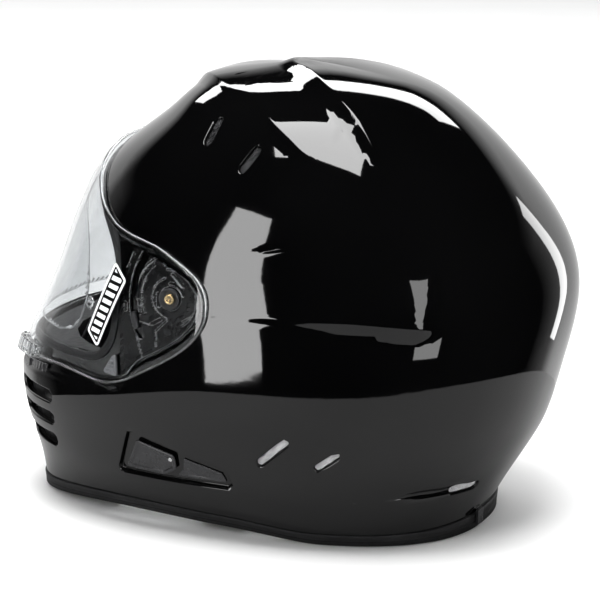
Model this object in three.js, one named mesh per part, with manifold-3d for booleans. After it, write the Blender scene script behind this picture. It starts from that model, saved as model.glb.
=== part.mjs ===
// Full-face motorcycle helmet, 332 mm long and 262 mm tall; the shell is 252 mm wide, and the
// visor's two ears bring the whole to 259 mm.
// Millimetres, +Z up, -Y is the front (the visor side), +X is the wearer's left.
// The origin is under the middle of the helmet, on the surface that it stands on.
import * as THREE from 'three';
import Module from 'manifold-3d';
import { mergeVertices } from 'three/addons/utils/BufferGeometryUtils.js';

const wasm = await Module();
wasm.setup();

// ---------------------------------------------------------------- driving dimensions

// The outer surface is drawn by three profiles from the rim (level 0) to the crown (level 1):
// the front and rear profiles in the middle plane, and the side profile at the widest section.
const LEVEL = [0, 0.09, 0.18, 0.29, 0.4, 0.51, 0.62, 0.73, 0.83, 0.92, 1];
const FRONT_Y = [-154.5, -154.9, -163, -166.1, -153.2, -138.2, -122.7, -105.1, -71.7, -45.8, -0.7];
const FRONT_Z = [0, 25.4, 49.4, 84.3, 115.1, 146.6, 178.8, 209.1, 235.6, 254.6, 262.1];
const REAR_Y = [119.8, 119.5, 135.8, 149.4, 158.4, 166.1, 154.8, 127.9, 97.8, 58.1, -0.7];
const REAR_Z = [0, 9.1, 37.4, 62.3, 94.1, 136.6, 174.1, 208.6, 236.1, 255.6, 262.1];
const SIDE_X = [86.6, 104.8, 112.4, 120.2, 124.1, 126, 122, 110, 90, 54.5, 0];
const SIDE_Z = [0, 21.8, 44.4, 74.3, 104.1, 136.1, 168.6, 199.1, 229.1, 251.6, 262.1];
const MID_Y = [-5.7, -5.7, -5.7, -5.7, -3.7, -0.7, 2.3, 2.3, 2.3, 0.3, -0.7];
const ROUNDNESS = { front: 2.15, rear: 2.25, frontRim: 0.53, rearRim: 0.25 };
const CORNER_SAG = 0.47; // how strongly the low corners follow the middle profiles
const RIM_ARCH = 6.5; // rise of the rim in front of the ears
const RIM_ARCH_MID = -0.33; // sine of the azimuth where the rim is highest
const RIM_ARCH_HALF = 0.67;

const GAP = 0.3; // clearance between pieces that touch
const SHELL = 4; // wall of the outer shell
const POCKET = 4; // depth of the recess behind the visor
const LINER_GAP = 0.4;
const TRIM_HEIGHT = 8.7;
const TRIM_PROUD = 1;
const TRIM_DEPTH = 7;
const AROUND = 32; // facets around the helmet
const UP = 14; // facets from rim to crown

const VISOR_PIVOT = { y: -4, z: 142 };
const VISOR_THICK = 2.2;
const VISOR_LOW = 0.2; // outer offset of the visor at the chin
const VISOR_PROUD = 3.4; // outer offset of the visor at its ears and top edge
const BOSS = { y: -24.7, z: 143.5, radius: 6.2 };

const HEAD = { y: 8, z: 128, rx: 93, ry: 114, rz: 100 }; // cavity in the impact liner
const PAD = 10; // thickness of the crown pad
const SUN = { y: -10, z: 150, thick: 1.8, from: 38, to: 76, half: 78, pivotX: 97 };

// sun visor lever: depth of its recess, and the slot that its peg runs in (side view)
const LEVER = { recess: 3, peg: [-48.5, 47.1], slotFrom: [-50, 47.3], slotTo: [-22, 43.9], slotWidth: 4 };

const BLACK_PAINT = { color: '#060607', roughness: 0.08, metalness: 0 };
const BLACK_PLASTIC = { color: '#17181a', roughness: 0.5, metalness: 0 };
const RUBBER = { color: '#101011', roughness: 0.75, metalness: 0 };
const FOAM = { color: '#2b2c2f', roughness: 0.95, metalness: 0 };
const CLOTH = { color: '#1f2023', roughness: 0.9, metalness: 0 };
const CLEAR = { color: '#c9d2d6', roughness: 0.05, metalness: 0 };
const SMOKE = { color: '#3a3d42', roughness: 0.08, metalness: 0 };
const SILVER = { color: '#b9bbbd', roughness: 0.35, metalness: 1 };
const BRASS = { color: '#b89a63', roughness: 0.3, metalness: 1 };
const WEBBING = { color: '#1a1a1c', roughness: 0.9, metalness: 0 };

// ---------------------------------------------------------------- the outer surface

// natural cubic spline through (LEVEL, values)
function spline(values) {
  const n = LEVEL.length;
  const h = LEVEL.slice(1).map((x, i) => x - LEVEL[i]);
  const m = new Array(n).fill(0);
  const diagonal = new Array(n).fill(1);
  const right = new Array(n).fill(0);
  for (let i = 1; i < n - 1; i++) {
    const slope = 6 * ((values[i + 1] - values[i]) / h[i] - (values[i] - values[i - 1]) / h[i - 1]);
    const lower = i > 1 ? h[i - 1] / diagonal[i - 1] : 0;
    diagonal[i] = 2 * (h[i - 1] + h[i]) - lower * (i > 1 ? h[i - 1] : 0);
    right[i] = slope - lower * right[i - 1];
  }
  for (let i = n - 2; i > 0; i--) {
    m[i] = (right[i] - h[i] * m[i + 1]) / diagonal[i];
  }
  return (t) => {
    let i = 0;
    while (i < n - 2 && t > LEVEL[i + 1]) i++;
    const a = (LEVEL[i + 1] - t) / h[i];
    const b = 1 - a;
    const bend = ((a ** 3 - a) * m[i] + (b ** 3 - b) * m[i + 1]) * h[i] * h[i] / 6;
    return a * values[i] + b * values[i + 1] + bend;
  };
}

const profile = {
  frontY: spline(FRONT_Y),
  frontZ: spline(FRONT_Z),
  rearY: spline(REAR_Y),
  rearZ: spline(REAR_Z),
  sideX: spline(SIDE_X),
  sideZ: spline(SIDE_Z),
  midY: spline(MID_Y),
};

const ease = (x) => {
  const k = Math.min(Math.max(x, 0), 1);
  return k * k * (3 - 2 * k);
};

// point of the outer surface at an azimuth (0 at +X, 90 degrees at the rear) and a level
function skin(azimuth, level) {
  const c = Math.cos(azimuth);
  const s = Math.sin(azimuth);
  const front = s < 0;
  const low = (1 - level) ** 3;
  const nFront = ROUNDNESS.front + ROUNDNESS.frontRim * low;
  const nRear = ROUNDNESS.rear + ROUNDNESS.rearRim * low;
  const e = 2 / (nFront + (nRear - nFront) * ease((s + 1) / 2));
  const middle = profile.midY(level);
  const reach = (front ? profile.frontY(level) : profile.rearY(level)) - middle;
  const x = profile.sideX(level) * Math.sign(c) * Math.abs(c) ** e;
  const y = middle + reach * Math.abs(s) ** e;
  const share = s * s * (1 + CORNER_SAG * (1 - level) ** 2 * c * c);
  const end = front ? profile.frontZ(level) : profile.rearZ(level);
  const u = (s - RIM_ARCH_MID) / RIM_ARCH_HALF;
  const arch = Math.abs(u) < 1 ? RIM_ARCH * (1 - u * u) ** 1.5 * low : 0;
  const z = profile.sideZ(level) * (1 - share) + end * share + arch;
  return new THREE.Vector3(x, y, z);
}

function normal(azimuth, level) {
  const t = Math.min(level, 0.985);
  const d = 0.004;
  const around = skin(azimuth + d, t).sub(skin(azimuth - d, t));
  const up = skin(azimuth, t + d).sub(skin(azimuth, Math.max(t - d, 0)));
  return around.cross(up).normalize();
}

function offset(azimuth, level, distance) {
  return skin(azimuth, level).addScaledVector(normal(azimuth, level), distance);
}

// level whose height above the rim is the given one
function levelAt(azimuth, height) {
  const target = skin(azimuth, 0).z + height;
  let low = 0;
  let high = 0.6;
  for (let i = 0; i < 20; i++) {
    const mid = (low + high) / 2;
    if (skin(azimuth, mid).z < target) low = mid;
    else high = mid;
  }
  return (low + high) / 2;
}

const azimuths = Array.from({ length: AROUND }, (_, i) => (i / AROUND) * 2 * Math.PI);

// ---------------------------------------------------------------- solids and booleans

function geometryOf(points, faces) {
  const g = new THREE.BufferGeometry();
  g.setAttribute('position', new THREE.Float32BufferAttribute(points.flatMap((p) => p.toArray()), 3));
  g.setIndex(faces);
  return g;
}

function solid(geometry) {
  const g = geometry.clone();
  g.deleteAttribute('normal');
  g.deleteAttribute('uv');
  const m = mergeVertices(g, 1e-4);
  const vertProperties = new Float32Array(m.attributes.position.array);
  const triVerts = new Uint32Array(m.index.array);
  return new wasm.Manifold(new wasm.Mesh({ numProp: 3, vertProperties, triVerts }));
}

function toGeometry(manifold) {
  const mesh = manifold.getMesh();
  const g = new THREE.BufferGeometry();
  g.setAttribute('position', new THREE.BufferAttribute(new Float32Array(mesh.vertProperties), 3));
  g.setIndex(Array.from(mesh.triVerts));
  g.computeVertexNormals();
  return g;
}

// a closed mesh whose faces may all point in
function outward(geometry) {
  const made = solid(geometry);
  if (made.volume() > 0) return made;
  const index = Array.from(geometry.index.array);
  for (let i = 0; i < index.length; i += 3) {
    [index[i], index[i + 1]] = [index[i + 1], index[i]];
  }
  geometry.setIndex(index);
  return solid(geometry);
}

// closed rows of points, bottom to top, each a ring; the ends are closed by a point
function lathe(rows, bottom, top) {
  const n = rows[0].length;
  const points = [bottom, top, ...rows.flat()];
  const at = (r, i) => 2 + r * n + (i % n);
  const faces = [];
  const last = rows.length - 1;
  for (let i = 0; i < n; i++) {
    faces.push(0, at(0, i + 1), at(0, i));
    faces.push(1, at(last, i), at(last, i + 1));
    for (let r = 0; r < last; r++) {
      faces.push(at(r, i), at(r, i + 1), at(r + 1, i + 1));
      faces.push(at(r, i), at(r + 1, i + 1), at(r + 1, i));
    }
  }
  return solid(geometryOf(points, faces));
}

// everything inside the outer surface moved by a distance; a core reaches down past the rim
function body(distance, core = true) {
  const rows = [];
  const from = azimuths.map((a) => (core ? 0.03 : levelAt(a, TRIM_HEIGHT + GAP)));
  for (let j = 0; j < UP; j++) {
    rows.push(azimuths.map((a, i) => offset(a, from[i] + (1 - from[i]) * (j / UP), distance)));
  }
  const top = offset(0, 1, 0).add(new THREE.Vector3(0, 0, distance));
  if (core) {
    rows.unshift(rows[0].map((p) => new THREE.Vector3(p.x, p.y, -20)));
    return lathe(rows, new THREE.Vector3(0, 0, -20), top);
  }
  const height = rows[0].reduce((sum, p) => sum + p.z, 0) / AROUND;
  return lathe(rows, new THREE.Vector3(0, 0, height), top);
}

// an outline in the side view (y, z), made solid from x = near to x = far
function sidePrism(outline, near, far) {
  const shape = new THREE.Shape(outline.map(([y, z]) => new THREE.Vector2(y, z)));
  const g = new THREE.ExtrudeGeometry(shape, { depth: far - near, bevelEnabled: false, steps: 1 });
  g.applyMatrix4(new THREE.Matrix4().makeBasis(
    new THREE.Vector3(0, 1, 0), new THREE.Vector3(0, 0, 1), new THREE.Vector3(1, 0, 0),
  ));
  g.translate(near, 0, 0);
  return solid(g);
}

const FULL = 200;
const through = (outline) => sidePrism(outline, -FULL, FULL);
const leftOf = (outline) => sidePrism(outline, 2, FULL);

function box(x0, x1, y0, y1, z0, z1) {
  const g = new THREE.BoxGeometry(x1 - x0, y1 - y0, z1 - z0);
  g.translate((x0 + x1) / 2, (y0 + y1) / 2, (z0 + z1) / 2);
  return solid(g);
}

// a round bar along X at (y, z)
function barX(y, z, radius, x0, x1, facets = 20) {
  const g = new THREE.CylinderGeometry(radius, radius, x1 - x0, facets);
  g.rotateZ(Math.PI / 2);
  g.translate((x0 + x1) / 2, y, z);
  return solid(g);
}

function ellipsoid(grow, columns = 24, rows = 12) {
  const g = new THREE.SphereGeometry(1, columns, rows);
  g.rotateX(Math.PI / 2);
  g.scale(HEAD.rx + grow, HEAD.ry + grow, HEAD.rz + grow);
  g.translate(0, HEAD.y, HEAD.z);
  return solid(g);
}

// the head space: an ellipsoid whose lower half runs straight down
function headSpace(grow) {
  const g = new THREE.CylinderGeometry(1, 1, HEAD.z + 40, 24);
  g.rotateX(Math.PI / 2);
  g.scale(HEAD.rx + grow - 3, HEAD.ry + grow - 6, 1);
  g.translate(0, HEAD.y, (HEAD.z - 40) / 2);
  return ellipsoid(grow).add(solid(g));
}

const mirrorX = (manifold) => {
  const g = toGeometry(manifold);
  g.scale(-1, 1, 1);
  const index = Array.from(g.index.array);
  for (let i = 0; i < index.length; i += 3) {
    [index[i], index[i + 1]] = [index[i + 1], index[i]];
  }
  g.setIndex(index);
  return solid(g);
};

// ---------------------------------------------------------------- side-view outlines

const AHEAD = -220; // any y in front of the helmet

// outer edge of the visor, from its top edge at the brow, round the ear, to the chin
const VISOR_EDGE = [
  [AHEAD, 216], [-101, 216], [-96, 203], [-87.5, 194.4], [-78.7, 186.1], [-66.6, 179.1],
  [-55.5, 175.8], [-43.6, 173.6], [-32.5, 171.1], [-22, 166.5], [-11.7, 161], [-5, 155.2],
  [-1.2, 148.5], [-0.2, 140.6], [-2, 131.5], [-8, 122.4], [-17.5, 113.9], [-29.9, 105.8],
  [-43.6, 98.3], [-53.9, 92.9], [-64.9, 89.5], [-75.9, 88.7], [-91.6, 90.1], [-105, 91.3],
  [AHEAD, 86.5],
];
// recess of the shell behind the visor; it runs past the visor along the chin
const POCKET_EDGE = [
  [AHEAD, 211], [-101.5, 211], [-97.5, 200], [-90, 191.5], [-80.5, 182.8], [-68, 175.8],
  [-56.5, 172.3], [-44.5, 170], [-33.5, 167.3], [-23.5, 163], [-14, 158.2], [-8.5, 153.3],
  [-5, 148], [-3.8, 141], [-5.4, 133], [-11, 125], [-20, 117], [-32, 109.5], [-44.5, 102.5],
  [-53, 95], [-60, 86], [-72, 81.5], [-92, 81], [AHEAD, 76.5],
];
const EYEPORT_EDGE = [
  [AHEAD, 203], [-103, 203], [-98, 191], [-87, 181], [-76.5, 172], [-69, 162], [-66, 150],
  [-67, 125], [-71.5, 112], [-82, 104], [-110, 103], [AHEAD, 103],
];
const GASKET_EDGE = [
  [AHEAD, 207.5], [-102.6, 207.5], [-99, 198], [-90.5, 189.3], [-80, 180.6], [-68, 172], [-61.5, 150],
  [-62.5, 124], [-67.5, 108.5], [-80, 99.5], [-110, 98.5], [AHEAD, 98.5],
];
// base plate that carries the visor, inside the recess
const BASE_EDGE = [
  [-51.5, 168.6], [-44.5, 167], [-34.5, 164.4], [-25, 160.4], [-16, 156], [-10.5, 151.5],
  [-7.5, 147], [-6.8, 141], [-8.2, 134.5], [-13, 127.5], [-21.5, 120], [-33, 112.8],
  [-46, 105.5], [-50, 101.5], [-56, 95], [-59.3, 100], [-59.8, 140], [-56, 158],
];
const RECESS_EDGE = [[-56, 63], [-24, 53.5], [5, 46], [10, 33.5], [-30, 33.5], [-67, 34]];
const SLIDER_EDGE = [[-51, 56.5], [-27, 50], [-26.5, 42], [-34.5, 37], [-60, 38.5]];
const TRACK_EDGE = [[-22, 48.5], [1.5, 42.5], [4, 37], [-27, 37], [-22.5, 42]];

// the outline (clockwise in the side view) moved outward by a distance
const growOutline = (outline, by) => outline.map(([y, z], i) => {
  const before = outline[(i + outline.length - 1) % outline.length];
  const after = outline[(i + 1) % outline.length];
  const into = new THREE.Vector2(before[1] - z, y - before[0]).normalize();
  const away = new THREE.Vector2(z - after[1], after[0] - y).normalize();
  const bisector = into.clone().add(away).normalize();
  const move = by / Math.max(bisector.dot(into), 0.5);
  return [y + bisector.x * move, z + bisector.y * move];
});

// a slot with round ends between two points of the side view
function slotEdge([y0, z0], [y1, z1], width) {
  const angle = Math.atan2(z1 - z0, y1 - y0);
  const edge = [];
  for (let i = 0; i <= 5; i++) {
    const a = angle + Math.PI / 2 + (i / 5) * Math.PI;
    edge.push([y0 + (width / 2) * Math.cos(a), z0 + (width / 2) * Math.sin(a)]);
  }
  for (let i = 0; i <= 5; i++) {
    const a = angle - Math.PI / 2 + (i / 5) * Math.PI;
    edge.push([y1 + (width / 2) * Math.cos(a), z1 + (width / 2) * Math.sin(a)]);
  }
  return edge;
}

// vent slots of one side, each from one end to the other in the side view
const VENTS = {
  crown_vent_front: { from: [-17, 227.5], to: [-15.5, 237], width: 5 },
  crown_vent_rear: { from: [9, 216], to: [14, 225], width: 5 },
  side_exhaust_front: { from: [26.5, 53.5], to: [42, 67], width: 4.6 },
  side_exhaust_rear: { from: [59, 53], to: [69.5, 60.8], width: 4.2 },
};
const CHIN_SLOTS = [70, 56, 42]; // heights of the three slots in each cheek of the chin bar
const CHIN_SLOT = { height: 8, inner: 76, front: -150, back: -114 };
const CHIN_GRILLE = { low: 36.5, high: 75.5, inner: 72 };

// ---------------------------------------------------------------- outer shell

const pocketCut = (depth) => through(POCKET_EDGE).subtract(body(-depth));

function recessed(distance, depth, core) {
  return body(distance, core).subtract(pocketCut(depth));
}

// behind the recess the shell steps inward, over a little more than the recess itself
const STEP_EDGE = growOutline(POCKET_EDGE, SHELL);
const shellInside = body(-SHELL).subtract(
  through(STEP_EDGE).subtract(body(-POCKET - SHELL)),
);

const slotTool = (vent, grow = 0) => sidePrism(slotEdge(vent.from, vent.to, vent.width + grow), 40, FULL);

function chinSlot(z, grow = 0) {
  const half = CHIN_SLOT.height / 2 + grow;
  const back = CHIN_SLOT.back + grow;
  const outline = [
    [CHIN_SLOT.front, z - half], [back + 2, z - half], [back - 2, z + half], [CHIN_SLOT.front, z + half],
  ];
  return sidePrism(outline, CHIN_SLOT.inner - grow, FULL);
}

function pairOf(tool) {
  return tool.add(mirrorX(tool));
}

function outerShell() {
  let shell = recessed(0, POCKET, false).subtract(shellInside);
  shell = shell.subtract(through(EYEPORT_EDGE));
  for (const vent of Object.values(VENTS)) {
    shell = shell.subtract(pairOf(slotTool(vent)));
  }
  for (const z of CHIN_SLOTS) {
    shell = shell.subtract(pairOf(chinSlot(z)));
  }
  shell = shell.subtract(leftOf(RECESS_EDGE).subtract(body(-LEVER.recess)));
  shell = shell.subtract(leftOf(slotEdge(LEVER.slotFrom, LEVER.slotTo, LEVER.slotWidth)));
  shell = shell.subtract(pairOf(barX(BOSS.y, BOSS.z, 2.6, 90, FULL)));
  return shell.subtract(pairOf(rearVentTool(0)));
}

// ---------------------------------------------------------------- trim, gasket and liners

function ringBand(low, high, outer, inner, flatBottom) {
  const points = [];
  const faces = [];
  azimuths.forEach((a) => {
    const t0 = low(a);
    const t1 = high(a);
    const corner = [offset(a, t0, outer), offset(a, t1, outer), offset(a, t1, inner), offset(a, t0, inner)];
    if (flatBottom) {
      corner[0].z = skin(a, t0).z;
      corner[3].z = skin(a, t0).z;
      corner[2].z = corner[1].z;
    }
    points.push(...corner);
  });
  for (let i = 0; i < AROUND; i++) {
    const p = i * 4;
    const q = ((i + 1) % AROUND) * 4;
    for (let k = 0; k < 4; k++) {
      const l = (k + 1) % 4;
      faces.push(p + k, q + k, q + l);
      faces.push(p + k, q + l, p + l);
    }
  }
  return solid(geometryOf(points, faces));
}

const baseTrim = () => ringBand(() => 0, (a) => levelAt(a, TRIM_HEIGHT), TRIM_PROUD, TRIM_PROUD - TRIM_DEPTH, true);

const layer = (outer, inner) => body(outer).subtract(body(inner));

const eyeportGasket = () => layer(-2.9, -3.7).intersect(through(GASKET_EDGE)).subtract(through(EYEPORT_EDGE));

const LINER_OUT = SHELL + LINER_GAP;
const above = (z) => box(-FULL, FULL, -FULL, FULL, z, 300);
const below = (z) => box(-FULL, FULL, -FULL, FULL, -60, z);
const ahead = (y) => box(-FULL, FULL, -FULL, y, -60, 300);
const behind = (y) => box(-FULL, FULL, y, FULL, -60, 300);

const linerBody = body(-LINER_OUT).subtract(
  through(growOutline(STEP_EDGE, LINER_GAP)).subtract(body(-POCKET - SHELL - LINER_GAP)),
);

// room for the drop-down sun visor: a slice of a turned shape about its pivot line
const sunRadius = (x) => 96.5 - 0.0037 * x * x;

function sunSheet(inner, outer, halfWidth, fromDeg, toDeg, columns = 12, rows = 8) {
  const points = [];
  const n = columns + 1;
  const m = rows + 1;
  for (const side of [outer, inner]) {
    for (let j = 0; j < m; j++) {
      for (let i = 0; i < n; i++) {
        const x = -halfWidth + (2 * halfWidth * i) / columns;
        const a = THREE.MathUtils.degToRad(fromDeg + ((toDeg - fromDeg) * j) / rows);
        const r = sunRadius(x) + side;
        points.push(new THREE.Vector3(x, SUN.y - r * Math.cos(a), SUN.z + r * Math.sin(a)));
      }
    }
  }
  const at = (s, j, i) => s * n * m + j * n + i;
  const faces = [];
  const quad = (a, b, c, d) => faces.push(a, b, c, a, c, d);
  for (let j = 0; j < rows; j++) {
    for (let i = 0; i < columns; i++) {
      quad(at(0, j, i), at(0, j, i + 1), at(0, j + 1, i + 1), at(0, j + 1, i));
      quad(at(1, j, i), at(1, j + 1, i), at(1, j + 1, i + 1), at(1, j, i + 1));
    }
  }
  for (let i = 0; i < columns; i++) {
    quad(at(0, 0, i), at(1, 0, i), at(1, 0, i + 1), at(0, 0, i + 1));
    quad(at(0, rows, i), at(0, rows, i + 1), at(1, rows, i + 1), at(1, rows, i));
  }
  for (let j = 0; j < rows; j++) {
    quad(at(0, j, 0), at(0, j + 1, 0), at(1, j + 1, 0), at(1, j, 0));
    quad(at(0, j, columns), at(1, j, columns), at(1, j + 1, columns), at(0, j + 1, columns));
  }
  return solid(geometryOf(points, faces));
}

const onSun = (radius, degrees) => {
  const a = THREE.MathUtils.degToRad(degrees);
  return [SUN.y - radius * Math.cos(a), SUN.z + radius * Math.sin(a)];
};

// the slot in the liner that the sheet and its two arms sweep
function sunSlot() {
  const section = [[0, 93.5], [78, 72], [78, 82], [0, 101], [0, 93.5]];
  const g = new THREE.LatheGeometry(section.map(([r, x]) => new THREE.Vector2(r, x)), 28);
  g.rotateZ(-Math.PI / 2);
  g.translate(0, SUN.y, SUN.z);
  const sector = [[SUN.y, SUN.z]];
  for (let degrees = -14; degrees <= 98; degrees += 8) {
    sector.push(onSun(90, degrees));
  }
  sector.push([SUN.y + 8, SUN.z + 8], [SUN.y + 9, SUN.z - 9], [SUN.y - 9, SUN.z - 9]);
  const arm = solid(g).intersect(through(sector.slice(1)));
  const pins = barX(SUN.y, SUN.z, 6, 93, 107, 16);
  return sunSheet(-5, 4, 86, -4, 84, 8, 8).add(pairOf(arm)).add(pairOf(pins));
}
const sunRoom = sunSlot();

function impactLiner() {
  let liner = linerBody.subtract(headSpace(0)).subtract(through(EYEPORT_EDGE));
  liner = liner.subtract(below(26)).subtract(ahead(-62).intersect(below(150)));
  liner = liner.subtract(sunRoom);
  liner = liner.subtract(pairOf(barX(BOSS.y, BOSS.z, 6, 90, FULL, 12)));
  liner = liner.subtract(leftOf(growOutline(RECESS_EDGE, 3)).subtract(body(-12)));
  liner = liner.subtract(pairOf(box(84, 130, -36, 0, 20, 72)));
  return largest(liner.subtract(cableTube(2.2, 8)));
}

function largest(manifold) {
  const parts = manifold.decompose();
  return parts.sort((a, b) => b.volume() - a.volume())[0];
}

function chinBarLiner() {
  const hollow = body(-26);
  let liner = linerBody.subtract(hollow).intersect(ahead(-62 - GAP));
  liner = liner.subtract(above(98)).subtract(below(16));
  for (const z of CHIN_SLOTS) {
    liner = liner.subtract(pairOf(chinSlot(z, 1.2)));
  }
  liner = liner.subtract(pairOf(grilleBlock(GAP).subtract(body(-9))));
  return largest(liner);
}

// the block behind the chin slots that holds the grille
function grilleBlock(grow) {
  const low = CHIN_GRILLE.low - grow;
  const high = CHIN_GRILLE.high + grow;
  const back = CHIN_SLOT.back + grow;
  const outline = [
    [CHIN_SLOT.front, low], [back + 5, low], [back, high], [CHIN_SLOT.front, high],
  ];
  return sidePrism(outline, CHIN_GRILLE.inner - grow, FULL);
}

// thin comfort lining of the crown
function crownPad() {
  let pad = ellipsoid(-GAP).subtract(ellipsoid(-PAD, 20, 10));
  pad = pad.subtract(below(118)).subtract(ahead(-62).intersect(below(205)));
  pad = pad.subtract(through(EYEPORT_EDGE)).subtract(sunRoom);
  return largest(pad);
}

function cheekPad() {
  const outline = [
    [-56, 28], [-60, 60], [-57, 96], [-40, 113], [10, 113], [34, 96], [38, 50], [30, 28],
  ];
  const outer = headSpace(-1.5);
  const hollow = headSpace(-33);
  return largest(sidePrism(outline, 20, FULL).intersect(outer).subtract(hollow));
}

function neckRoll() {
  let roll = linerBody.subtract(headSpace(-2)).intersect(above(14.5)).intersect(below(25.4));
  roll = roll.intersect(behind(4));
  return largest(roll);
}

// ---------------------------------------------------------------- visor and its side plates

const visorShare = (p) => Math.max(ease((p.z - 135) / 40), ease((p.y + 95) / 45));

// closed body under the visor's outer (or inner) face, whose offset follows the position
function visorBody(inward) {
  const rows = [];
  const fine = 16;
  for (let j = 0; j < fine; j++) {
    rows.push(azimuths.map((a) => {
      const t = 0.1 + 0.9 * (j / fine);
      const rise = VISOR_LOW + (VISOR_PROUD - VISOR_LOW) * visorShare(skin(a, t));
      return offset(a, t, rise - inward);
    }));
  }
  const top = offset(0, 1, 0).add(new THREE.Vector3(0, 0, VISOR_PROUD - inward));
  return lathe(rows, new THREE.Vector3(0, 0, 30), top);
}

function faceShield() {
  const sheet = visorBody(0).subtract(visorBody(VISOR_THICK)).intersect(through(VISOR_EDGE));
  const tabOutline = [[-178, 84.8], [-112, 91.6], [-112, 97.5], [-140, 97], [-178, 91]];
  const tab = sidePrism(tabOutline, 52, 86).intersect(body(5.2)).subtract(visorBody(1));
  return largest(sheet.add(tab));
}

const tracks = (radius, width, fromDeg, toDeg) => {
  const edge = [];
  for (const [r, reverse] of [[radius + width / 2, false], [radius - width / 2, true]]) {
    for (let i = 0; i <= 10; i++) {
      const k = reverse ? 10 - i : i;
      const a = THREE.MathUtils.degToRad(fromDeg + ((toDeg - fromDeg) * k) / 10);
      edge.push([VISOR_PIVOT.y + r * Math.cos(a), VISOR_PIVOT.z + r * Math.sin(a)]);
    }
  }
  return edge;
};
const TRACK = { radius: 46, width: 5, from: 143, to: 208 };
const SHOE = { from: 192, to: 202 };

function visorBase() {
  let plate = layer(-1.4, -3.7).intersect(sidePrism(BASE_EDGE, 40, FULL));
  plate = plate.subtract(sidePrism(tracks(TRACK.radius, TRACK.width, TRACK.from, TRACK.to), 40, FULL));
  plate = plate.subtract(barX(BOSS.y, BOSS.z, 2.6, 90, FULL));
  return plate;
}

function guideShoe() {
  const outline = tracks(TRACK.radius, TRACK.width - 1.4, SHOE.from, SHOE.to);
  return sidePrism(outline, 40, FULL).intersect(layer(-0.3, -3.2));
}

const skinX = (y, z) => {
  // x of the left side's surface at a side-view position, by a search over azimuth and level
  let best = [1e9, 0];
  for (let i = -60; i <= 60; i++) {
    for (let j = 10; j <= 95; j++) {
      const p = skin((i / 60) * 1.4, j / 100);
      const d = Math.hypot(p.y - y, p.z - z);
      if (d < best[0]) best = [d, p.x];
    }
  }
  return best[1];
};
const BOSS_X = skinX(BOSS.y, BOSS.z);

function baseBoss() {
  const disc = barX(BOSS.y, BOSS.z, BOSS.radius, BOSS_X - 1.5, BOSS_X - 0.9, 24);
  return disc.subtract(barX(BOSS.y, BOSS.z, 3.5, 90, FULL, 20));
}

function baseScrew() {
  const head = barX(BOSS.y, BOSS.z, 3.1, BOSS_X - 1.45, BOSS_X - 0.95, 20);
  return head.add(barX(BOSS.y, BOSS.z, 1.9, 106, BOSS_X - 1.2, 12));
}

const RELEASE_EDGE = [[-62.6, 107], [-61.4, 93.5], [-71.5, 94.8]];
const releaseLever = () => layer(-1.1, -3.4).intersect(sidePrism(RELEASE_EDGE, 40, FULL));

const antiFogInsert = () => {
  const outline = [
    [AHEAD, 192], [-112, 192], [-104, 182], [-92, 168], [-88, 150], [-88, 132], [-96, 116],
    [-112, 111], [AHEAD, 111],
  ];
  return visorBody(VISOR_THICK + GAP).subtract(visorBody(VISOR_THICK + GAP + 0.9)).intersect(through(outline));
};

function antiFogPin() {
  const p = offset(THREE.MathUtils.degToRad(-33.2), 0.48, -3.4);
  const n = normal(THREE.MathUtils.degToRad(-33.2), 0.48);
  const g = new THREE.CylinderGeometry(3.2, 3.2, 1.2, 20);
  g.applyQuaternion(new THREE.Quaternion().setFromUnitVectors(new THREE.Vector3(0, 1, 0), n));
  g.translate(p.x, p.y, p.z);
  return solid(g);
}

// ---------------------------------------------------------------- vents, curtain and latch

const ventMesh = (vent) => layer(-1.5, -2.6).intersect(slotTool(vent, -0.8));

function chinGrille() {
  return largest(layer(-7.4, -8.6).intersect(grilleBlock(0)));
}

function breathDeflector() {
  const g = body(-30).subtract(body(-33)).intersect(ahead(-96));
  return largest(g.intersect(above(84)).intersect(below(122)).intersect(box(-60, 60, -FULL, 0, 0, 200)));
}

function chinCurtain() {
  const sheet = body(-15).subtract(body(-48)).intersect(ahead(-84));
  return largest(sheet.intersect(above(11)).intersect(below(12.6)));
}

function shieldLatch() {
  const outline = [[-160, 78.6], [-108, 82], [-109, 89.4], [-160, 84.4]];
  return largest(layer(-0.6, -3.6).intersect(sidePrism(outline, 60, 92)));
}

function trimClip() {
  const a = THREE.MathUtils.degToRad(86);
  const p = offset(a, levelAt(a, 6), TRIM_PROUD + 2.2);
  return box(p.x - 4.5, p.x + 4.5, p.y - 0.8, p.y + 0.8, 2.5, 10.5);
}

// ---------------------------------------------------------------- sun visor and its lever

const sunVisor = () => sunSheet(-SUN.thick / 2, SUN.thick / 2, SUN.half, SUN.from, SUN.to, 12, 5);

// arm that joins the sun visor's corner to its pivot, slanting out through the temple
function sunArm() {
  const r = sunRadius(SUN.half) - SUN.thick / 2 - GAP;
  const near = [onSun(r, 40), onSun(r, 50)];
  const far = [onSun(-4, 140), onSun(-4, -40)];
  const points = [];
  for (const [x, [a, b]] of [[SUN.half - 1, near], [SUN.pivotX, far]]) {
    for (const dx of [-1, 1]) {
      points.push(new THREE.Vector3(x + dx, ...a), new THREE.Vector3(x + dx, ...b));
    }
  }
  const [a, b, c, d, e, f, g, h] = [0, 1, 2, 3, 4, 5, 6, 7];
  const faces = [a, c, d, a, d, b, e, f, h, e, h, g, a, e, g, a, g, c, b, d, h, b, h, f, a, b, f, a, f, e, c, g, h, c, h, d];
  return outward(geometryOf(points, faces));
}

function sunPivot() {
  return barX(SUN.y, SUN.z, 5, SUN.pivotX + 1 + GAP, 106, 16);
}

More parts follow.
